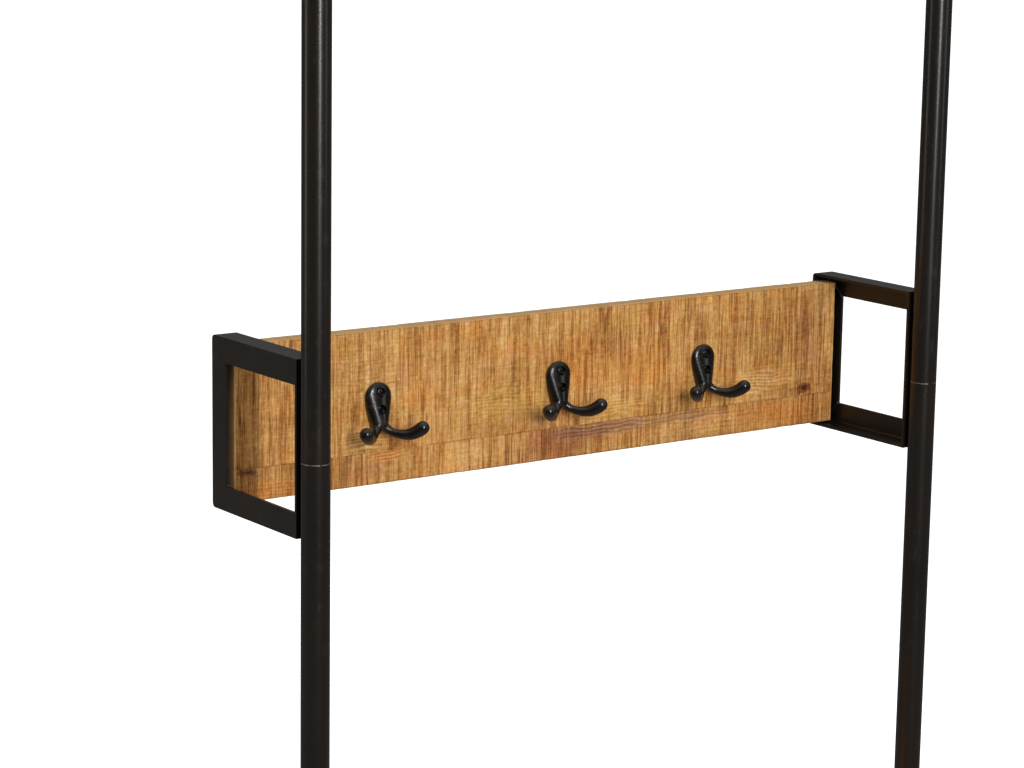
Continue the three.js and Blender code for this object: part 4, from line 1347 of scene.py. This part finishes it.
@dataclass
class Plank:
    """One sawn plank: worn arrises and faces that are a little uneven.

    Attributes:
        maker: Keeps the piece.
        node: The CAD node.
        finish: Its wood.
        face: Which way its broad face looks.
        arris: Width of the worn edges.
        cell: Size of the mesh's cells.
        hollow: Depth of the unevenness.
        chip: Depth of the dents in the arrises.
    """

    maker: Maker
    node: str
    finish: SawnMango
    face: Face = Face.FRONT
    arris: float = 1.1 * MM
    cell: float = 4 * MM
    hollow: float = 0.16 * MM
    chip: float = 0.5 * MM

    def _divide(self, work: bmesh.types.BMesh, axis: int, low: Vector, high: Vector) -> None:
        """Cuts the mesh into cells along an axis."""
        span = high[axis] - low[axis]
        long_edges = [e for e in work.edges if abs(e.verts[0].co[axis] - e.verts[1].co[axis]) > span * 0.6]
        cuts = max(1, round(span / self.cell))
        bmesh.ops.subdivide_edges(work, edges=long_edges, cuts=cuts, use_grid_fill=True)

    def _wear(self, work: bmesh.types.BMesh, low: Vector, high: Vector, width_axis: int, seed: float) -> None:
        """Moves the surface inwards a little: hollows on the faces, dents along the arrises."""
        work.normal_update()
        thick_axis = 3 - width_axis
        for vert in work.verts:
            point = vert.co
            slow = noise.noise(Vector((point.x * 22 + seed, point[width_axis] * 60, point[thick_axis] * 40)))
            quick = noise.noise(Vector((point.x * 160, point[width_axis] * 70 + seed, point[thick_axis] * 70)))
            amount = self.hollow * (0.5 + 0.5 * slow)
            near = 0
            for axis in range(3):
                edge_distance = min(point[axis] - low[axis], high[axis] - point[axis])
                near += edge_distance < self.arris * 1.05
            if near >= 2 and not self._is_glued(point, low, high, width_axis):
                amount += self.chip * max(0.0, quick * 0.9 + slow * 0.6 - 0.05)
            if not self._is_glued(point, low, high, width_axis):
                vert.co = point - vert.normal * amount

    def _is_glued(self, point: Vector, low: Vector, high: Vector, width_axis: int) -> bool:
        """Whether a point is on an edge that is glued to the next plank."""
        at_low = point[width_axis] - low[width_axis] < 0.1 * MM and -1 in self.finish.glued
        at_high = high[width_axis] - point[width_axis] < 0.1 * MM and 1 in self.finish.glued
        return at_low or at_high

    def build(self) -> None:
        """Builds the plank."""
        low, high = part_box(self.node)
        width_axis = 2 if self.face is Face.FRONT else 1
        joint = GAP / 2 - 0.01 * MM
        if -1 in self.finish.glued:
            low[width_axis] -= joint
        if 1 in self.finish.glued:
            high[width_axis] += joint
        work = bmesh.new()
        slab(work, low, high)
        arrises = []
        for edge in work.edges:
            middle = (edge.verts[0].co + edge.verts[1].co) / 2
            if not self._is_glued(middle, low, high, width_axis):
                arrises.append(edge)
        rounded(work, arrises, self.arris, 3)
        self._divide(work, 0, low, high)
        self._divide(work, width_axis, low, high)
        self._wear(work, low, high, width_axis, self.finish.seed * 7.3)
        bmesh.ops.recalc_face_normals(work, faces=work.faces)
        self.maker.keep(f"{self.node}_wood", work, self.finish, [self.node])


@dataclass
class Woodwork:
    """The hook board's two planks and the bench's six."""

    maker: Maker
    upper_patches: tuple[Patch, ...] = (
        Patch(Mark.PALE, -248, 82, 62, 34, 0.42, 0.2),
        Patch(Mark.PALE, -236, 14, 30, 16, 0.55, 0.75),
        Patch(Mark.ORANGE, -172, 48, 22, 15, 0.5),
        Patch(Mark.OLIVE, -60, 36, 62, 22, 0.45, 0.3),
        Patch(Mark.ORANGE, 28, 62, 44, 34, 0.6),
        Patch(Mark.ORANGE, 112, 58, 46, 30, 0.55),
        Patch(Mark.OLIVE, 80, 12, 60, 13, 0.5, 0.5),
        Patch(Mark.PALE, 286, 22, 46, 17, 0.5, 0.6),
        Patch(Mark.RED, 350, 64, 26, 56, 0.5),
        Patch(Mark.PALE, 160, 100, 60, 22, 0.3),
    )
    lower_patches: tuple[Patch, ...] = (
        Patch(Mark.ORANGE, -330, 8, 60, 16, 0.5, 0.3),
        Patch(Mark.RED, -238, 12, 40, 16, 0.4),
        Patch(Mark.ORANGE, -212, 30, 22, 8, 0.55, 0.7),
        Patch(Mark.RED, 2, 16, 66, 22, 0.75),
        Patch(Mark.GREY, 66, 27, 70, 9, 0.9, 0.85),
        Patch(Mark.GREY, 170, 27, 60, 6, 0.45, 0.5),
        Patch(Mark.ORANGE, 300, 16, 80, 20, 0.45, 0.2),
        Patch(Mark.PALE, 205, 14, 62, 16, 0.6, 0.25),
    )

    def board(self) -> None:
        """Builds the hook board."""
        low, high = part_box("board_plank_upper")
        upper = SawnMango(
            name="mango_board_upper",
            middle=(low.x + high.x) / 2,
            half_length=(high.x - low.x) / 2,
            low_edge=low.z,
            width=high.z - low.z,
            seed=1.7,
            patches=self.upper_patches,
            knots=(Knot(345, 8, 7.0, 1.7, 1.25),),
            glued=(-1,),
        )
        Plank(self.maker, "board_plank_upper", upper).build()
        low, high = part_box("board_plank_lower")
        lower = SawnMango(
            name="mango_board_lower",
            middle=(low.x + high.x) / 2,
            half_length=(high.x - low.x) / 2,
            low_edge=low.z,
            width=high.z - low.z,
            seed=4.2,
            patches=self.lower_patches,
            knots=(Knot(-372, 30, 5.0, 2.8, 0.8),),
            tone=0.1,
            glued=(1,),
        )
        Plank(self.maker, "board_plank_lower", lower).build()

    def bench(self) -> None:
        """Builds the planks of the seat and the shelf."""
        for order, level in enumerate(LEVELS):
            for index in range(1, 4):
                node = f"{level}_plank_{index}"
                low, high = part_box(node)
                seed = 9.0 + 5.3 * order + 2.9 * index
                shift = (seed * 37) % 400 - 200
                wood = SawnMango(
                    name=f"mango_{node}",
                    middle=(low.x + high.x) / 2,
                    half_length=(high.x - low.x) / 2,
                    low_edge=low.y,
                    width=high.y - low.y,
                    face=Face.TOP,
                    seed=seed,
                    patches=(
                        Patch(Mark.ORANGE, shift, 60, 90, 34, 0.45),
                        Patch(Mark.PALE, -shift * 0.7 + 60, 40, 80, 28, 0.4, 0.4),
                        Patch(Mark.GREY, 260 - shift, 80, 60, 18, 0.4, 0.5),
                    ),
                    knots=(Knot(shift * 1.2 + 30, 34 + 9 * index, 6.5, 1.8, 0.75),),
                    tone=0.05 * index,
                )
                Plank(self.maker, node, wood, face=Face.TOP, cell=5 * MM).build()

    def build(self) -> None:
        """Builds all the woodwork."""
        self.board()
        self.bench()


# ---- Bench -----------------------------------------------------------------------------------------


@dataclass
class Bench:
    """The welded end frames of the bench, its long rails and its glides."""

    maker: Maker
    iron: AngleIron = field(default_factory=AngleIron)
    leg_foot: float = 8 * MM
    seat_top: float = 448 * MM
    shelf_top: float = 150 * MM
    glide_radius: float = 10.5 * MM
    glide_height: float = 7.7 * MM

    def _end_rail(self, work: bmesh.types.BMesh, outer: float, side: int, reach: float, top: float) -> None:
        """Adds one cross rail of an end frame, its ledge running on between the legs."""
        leg, thick = self.iron.leg, self.iron.thickness
        half = reach - leg
        bottom = top - leg
        corner = Vector((outer, -half, bottom))
        self.iron.bar(work, corner, Y, 2 * half, -side * X, Z)
        for end in ENDS.values():
            near = Vector((outer - side * thick, end * half, bottom))
            far = Vector((outer - side * leg, end * (reach - thick), bottom + thick))
            slab(work, near, far)
            inner = outer - side * thick
            start = Vector((inner, end * half, bottom + thick + 2 * MM))
            stop = Vector((inner, end * half, top - 1.5 * MM))
            self.iron.weld(work, start, stop, top + end)
            ledge_start = Vector((inner - side * 3 * MM, end * (reach - thick), bottom + thick))
            ledge_stop = Vector((outer - side * (leg - 2 * MM), end * (reach - thick), bottom + thick))
            self.iron.weld(work, ledge_start, ledge_stop, top + 3 * end)

    def end_frame(self, word: str) -> None:
        """Builds one welded end frame."""
        side = SIDES[word]
        low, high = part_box(f"side_frame_{word}")
        outer = high.x if side > 0 else low.x
        reach = high.y
        leg, thick = self.iron.leg, self.iron.thickness
        work = bmesh.new()
        for end in ENDS.values():
            corner = Vector((outer, end * reach, low.z))
            self.iron.bar(work, corner, Z, high.z - low.z, -side * X, -end * Y)
            foot_near = Vector((outer - side * thick, end * (reach - thick), low.z))
            foot_far = Vector((outer - side * leg, end * (reach - leg), low.z + thick))
            slab(work, foot_near, foot_far)
            weld_start = Vector((outer - side * (thick + 2 * MM), end * (reach - thick), low.z + thick))
            weld_stop = Vector((outer - side * (leg - 3 * MM), end * (reach - thick), low.z + thick))
            self.iron.weld(work, weld_start, weld_stop, end)
        for top in (high.z, self.shelf_top):
            self._end_rail(work, outer, side, reach, top)
        half = leg / 2
        bar_low = Vector((outer, -half, self.shelf_top))
        bar_high = Vector((outer - side * thick, half, high.z - leg))
        slab(work, bar_low, bar_high)
        for height in (self.shelf_top, high.z - leg):
            inner = outer - side * thick
            start = Vector((inner, -half + 2 * MM, height))
            self.iron.weld(work, start, Vector((inner, half - 2 * MM, height)), height)
        self.maker.keep(f"end_frame_{word}", work, PowderCoat(), [f"side_frame_{word}"], Finishing.EASED, 0.7 * MM)

    def long_rail(self, level: str, end_word: str) -> None:
        """Builds one long rail, its ledge notched round the end frames."""
        end = ENDS[end_word]
        node = f"{level}_rail_{end_word}"
        low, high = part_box(node)
        outer_y = high.y if end > 0 else low.y
        work = bmesh.new()
        self.iron.bar(work, Vector((low.x, outer_y, low.z)), X, high.x - low.x, -end * Y, Z)
        thick = self.iron.thickness
        notch = bmesh.new()
        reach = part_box("side_frame_right")[1].x - self.iron.leg - GAP
        for side in SIDES.values():
            inner = Vector((side * reach, outer_y - end * (thick + 1 * MM), low.z - thick))
            outer = Vector((side * (reach + 2 * self.iron.leg), outer_y - end * 2 * self.iron.leg, high.z + thick))
            slab(notch, inner, outer)
        work = carved(work, notch)
        bmesh.ops.remove_doubles(work, verts=work.verts, dist=1e-6)
        under = bmesh.new()
        for side in SIDES.values():
            inner = Vector((side * reach, outer_y + end * thick, low.z - thick))
            outer = Vector((side * (reach + 2 * self.iron.leg), outer_y - end * 2 * self.iron.leg, low.z + thick + GAP))
            slab(under, inner, outer)
        work = carved(work, under)
        bmesh.ops.dissolve_limit(work, angle_limit=math.radians(1), verts=work.verts, edges=work.edges)
        self.maker.keep(f"{node}_bar", work, PowderCoat(), [node], Finishing.EASED, 0.6 * MM)

    def glide(self, word: str, end_word: str) -> None:
        """Turns one leg's glide with its ribbed stud."""
        node = f"leg_glide_{word}_{end_word}"
        low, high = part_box(node)
        rim, top = self.glide_radius, self.glide_height
        stud = 3.7 * MM
        profile = [
            (0.0, 0.0),
            (rim - 1.8 * MM, 0.0),
            (rim - 0.6 * MM, 0.5 * MM),
            (rim, 1.7 * MM),
            (rim, top - 1.2 * MM),
            (rim - 0.8 * MM, top - 0.2 * MM),
            (rim - 1.8 * MM, top),
            (stud, top),
        ]
        for rib in range(3):
            base = top + (1.0 + 2.6 * rib) * MM
            profile += [(stud - 0.6 * MM, base), (stud, base + 1.0 * MM), (stud - 0.6 * MM, base + 1.4 * MM)]
        profile += [(stud - 0.9 * MM, high.z), (0.0, high.z)]
        work = turned(profile, 40)
        bmesh.ops.translate(work, verts=work.verts, vec=((low.x + high.x) / 2, (low.y + high.y) / 2, 0.0))
        self.maker.keep(f"leg_foot_{word}_{end_word}", work, MouldedPlastic(), [node])

    def build(self) -> None:
        """Builds the bench's steelwork and glides."""
        for word in SIDES:
            self.end_frame(word)
            for end_word in ENDS:
                self.glide(word, end_word)
        for level in LEVELS:
            for end_word in ENDS:
                self.long_rail(level, end_word)


# ---- Studio ----------------------------------------------------------------------------------------


@dataclass(frozen=True)
class Softbox:
    """A rectangular lamp aimed at the hook board.

    Attributes:
        name: Its name.
        azimuth: Degrees to the right of straight in front, seen from above.
        height: Height of its middle.
        distance: Level distance from the target.
        size: Its width and height.
        power: Its power in watts.
        colour: Its colour.
        mirrored: Whether the black steel mirrors it.
    """

    name: str
    azimuth: float
    height: float
    distance: float
    size: tuple[float, float]
    power: float
    colour: tuple[float, float, float] = (1.0, 1.0, 1.0)
    mirrored: bool = True

    def build(self, target: Vector) -> None:
        """Hangs the lamp and aims it.

        Args:
            target: The point that it lights.
        """
        data = bpy.data.lights.new(self.name, "AREA")
        data.shape = "RECTANGLE"
        data.size, data.size_y = self.size
        data.energy = self.power
        data.color = self.colour
        lamp = bpy.data.objects.new(self.name, data)
        lamp.visible_glossy = self.mirrored
        turn = math.radians(self.azimuth)
        place = Vector((target.x + self.distance * math.sin(turn), target.y - self.distance * math.cos(turn), self.height))
        lamp.matrix_world = Matrix.Translation(place) @ (target - place).to_track_quat("-Z", "Y").to_matrix().to_4x4()
        bpy.context.scene.collection.objects.link(lamp)


@dataclass
class Studio:
    """Floor, lamps, surroundings and camera."""

    camera_place: Vector = field(default_factory=lambda: Vector((-1.8063, -2.2918, 1.6001)))
    camera_yaw: float = 35.659  # towards +X from +Y
    camera_pitch: float = 10.992  # downwards
    camera_roll: float = 0.873
    lens: float = 103.785
    target: Vector = field(default_factory=lambda: Vector((0.0, 0.15, 1.03)))
    softboxes: tuple[Softbox, ...] = (
        Softbox("key", -12.0, 1.9, 3.0, (0.17, 1.55), 64.0),
        Softbox("left_rim", -112.0, 1.65, 2.6, (0.6, 2.0), 7.5, (1.0, 0.9, 0.78)),
        Softbox("left_kicker", -88.0, 1.2, 2.6, (1.6, 1.6), 26.0, (1.0, 0.88, 0.7), mirrored=False),
        Softbox("front_fill", 28.0, 1.6, 2.8, (1.4, 1.4), 9.0, mirrored=False),
        Softbox("right_fill", 40.0, 1.7, 3.2, (0.6, 1.6), 6.0),
        Softbox("rear_fill", 165.0, 1.7, 3.2, (1.2, 1.8), 22.0, mirrored=False),
    )

    def floor(self) -> None:
        """A pale floor that curves up far away."""
        profile = [(0.0, 0.0), (16.0, 0.0)]
        for step in range(1, 13):
            angle = math.pi / 2 * step / 12
            profile.append((16.0 + 6.0 * math.sin(angle), 6.0 * (1.0 - math.cos(angle))))
        work = bmesh.new()
        points = [work.verts.new((radius, 0.0, height)) for radius, height in profile]
        line = [work.edges.new(pair) for pair in zip(points, points[1:])]
        bmesh.ops.spin(work, geom=points + line, axis=Z, angle=math.tau, steps=96, use_merge=True)
        bmesh.ops.remove_doubles(work, verts=work.verts, dist=1e-5)
        mesh = bpy.data.meshes.new("studio_floor")
        work.to_mesh(mesh)
        work.free()
        mesh.shade_smooth()
        shader = Shader("studio_white")
        shader.finish(Base_Color=(0.8, 0.8, 0.8, 1.0), Roughness=0.9, Specular_IOR_Level=0.0)
        shader.finish(Emission_Color=(1.0, 1.0, 1.0, 1.0), Emission_Strength=0.62)
        mesh.materials.append(shader.material)
        floor = bpy.data.objects.new("studio_floor", mesh)
        bpy.context.scene.collection.objects.link(floor)
        floor.visible_diffuse = False
        floor.visible_glossy = False
        floor.visible_shadow = False

    def surroundings(self) -> None:
        """Light from all round: bright overhead, dim at eye level, pale from below."""
        world = bpy.data.worlds.new("studio")
        world.use_nodes = True
        tree = world.node_tree
        tree.nodes.clear()
        point = tree.nodes.new("ShaderNodeTexCoord")
        parts = tree.nodes.new("ShaderNodeSeparateXYZ")
        lift = tree.nodes.new("ShaderNodeMath")
        lift.operation = "MULTIPLY_ADD"
        lift.inputs[1].default_value = 0.5
        lift.inputs[2].default_value = 0.5
        ramp = tree.nodes.new("ShaderNodeValToRGB")
        stops = ((0.0, 0.4), (0.4, 0.13), (0.5, 0.09), (0.6, 0.09), (0.75, 0.42), (1.0, 1.3))
        elements = ramp.color_ramp.elements
        while len(elements) < len(stops):
            elements.new(1.0)
        for element, (place, level) in zip(elements, stops):
            element.position = place
            element.color = (level, level, level, 1.0)
        light = tree.nodes.new("ShaderNodeBackground")
        output = tree.nodes.new("ShaderNodeOutputWorld")
        tree.links.new(point.outputs["Generated"], parts.inputs[0])
        tree.links.new(parts.outputs["Z"], lift.inputs[0])
        tree.links.new(lift.outputs[0], ramp.inputs[0])
        tree.links.new(ramp.outputs[0], light.inputs["Color"])
        tree.links.new(light.outputs[0], output.inputs["Surface"])
        bpy.context.scene.world = world

    def camera(self) -> None:
        """The camera at the front left, a little above the board."""
        yaw, pitch, roll = (math.radians(a) for a in (self.camera_yaw, self.camera_pitch, self.camera_roll))
        ahead = Vector((math.sin(yaw) * math.cos(pitch), math.cos(yaw) * math.cos(pitch), -math.sin(pitch)))
        level_right = Vector((math.cos(yaw), -math.sin(yaw), 0.0))
        level_up = level_right.cross(ahead)
        right = level_right * math.cos(roll) + level_up * math.sin(roll)
        up = level_up * math.cos(roll) - level_right * math.sin(roll)
        data = bpy.data.cameras.new("camera")
        data.sensor_width = 36.0
        data.lens = self.lens
        data.clip_start = 0.05
        data.clip_end = 100.0
        camera = bpy.data.objects.new("camera", data)
        turn = Matrix((right, up, -ahead)).transposed().to_4x4()
        camera.matrix_world = Matrix.Translation(self.camera_place) @ turn
        bpy.context.scene.collection.objects.link(camera)
        bpy.context.scene.camera = camera

    def build(self) -> None:
        """Sets up the studio."""
        self.camera()
        self.floor()
        self.surroundings()
        for softbox in self.softboxes:
            softbox.build(self.target)
        view = bpy.context.scene.view_settings
        view.view_transform = "Standard"
        view.look = "None"


def main() -> None:
    """Builds the hall tree and its studio."""
    logging.basicConfig(level=logging.INFO, format="%(message)s")
    Studio().build()
    maker = Maker()
    Posts(maker).build()
    brackets = Brackets(maker)
    for word in SIDES:
        brackets.build(word)
    Hooks(maker).build()
    Fasteners(maker).build()
    Woodwork(maker).build()
    Bench(maker).build()
    LOG.info("%d pieces made", maker.made)


if __name__ == "__main__":
    main()
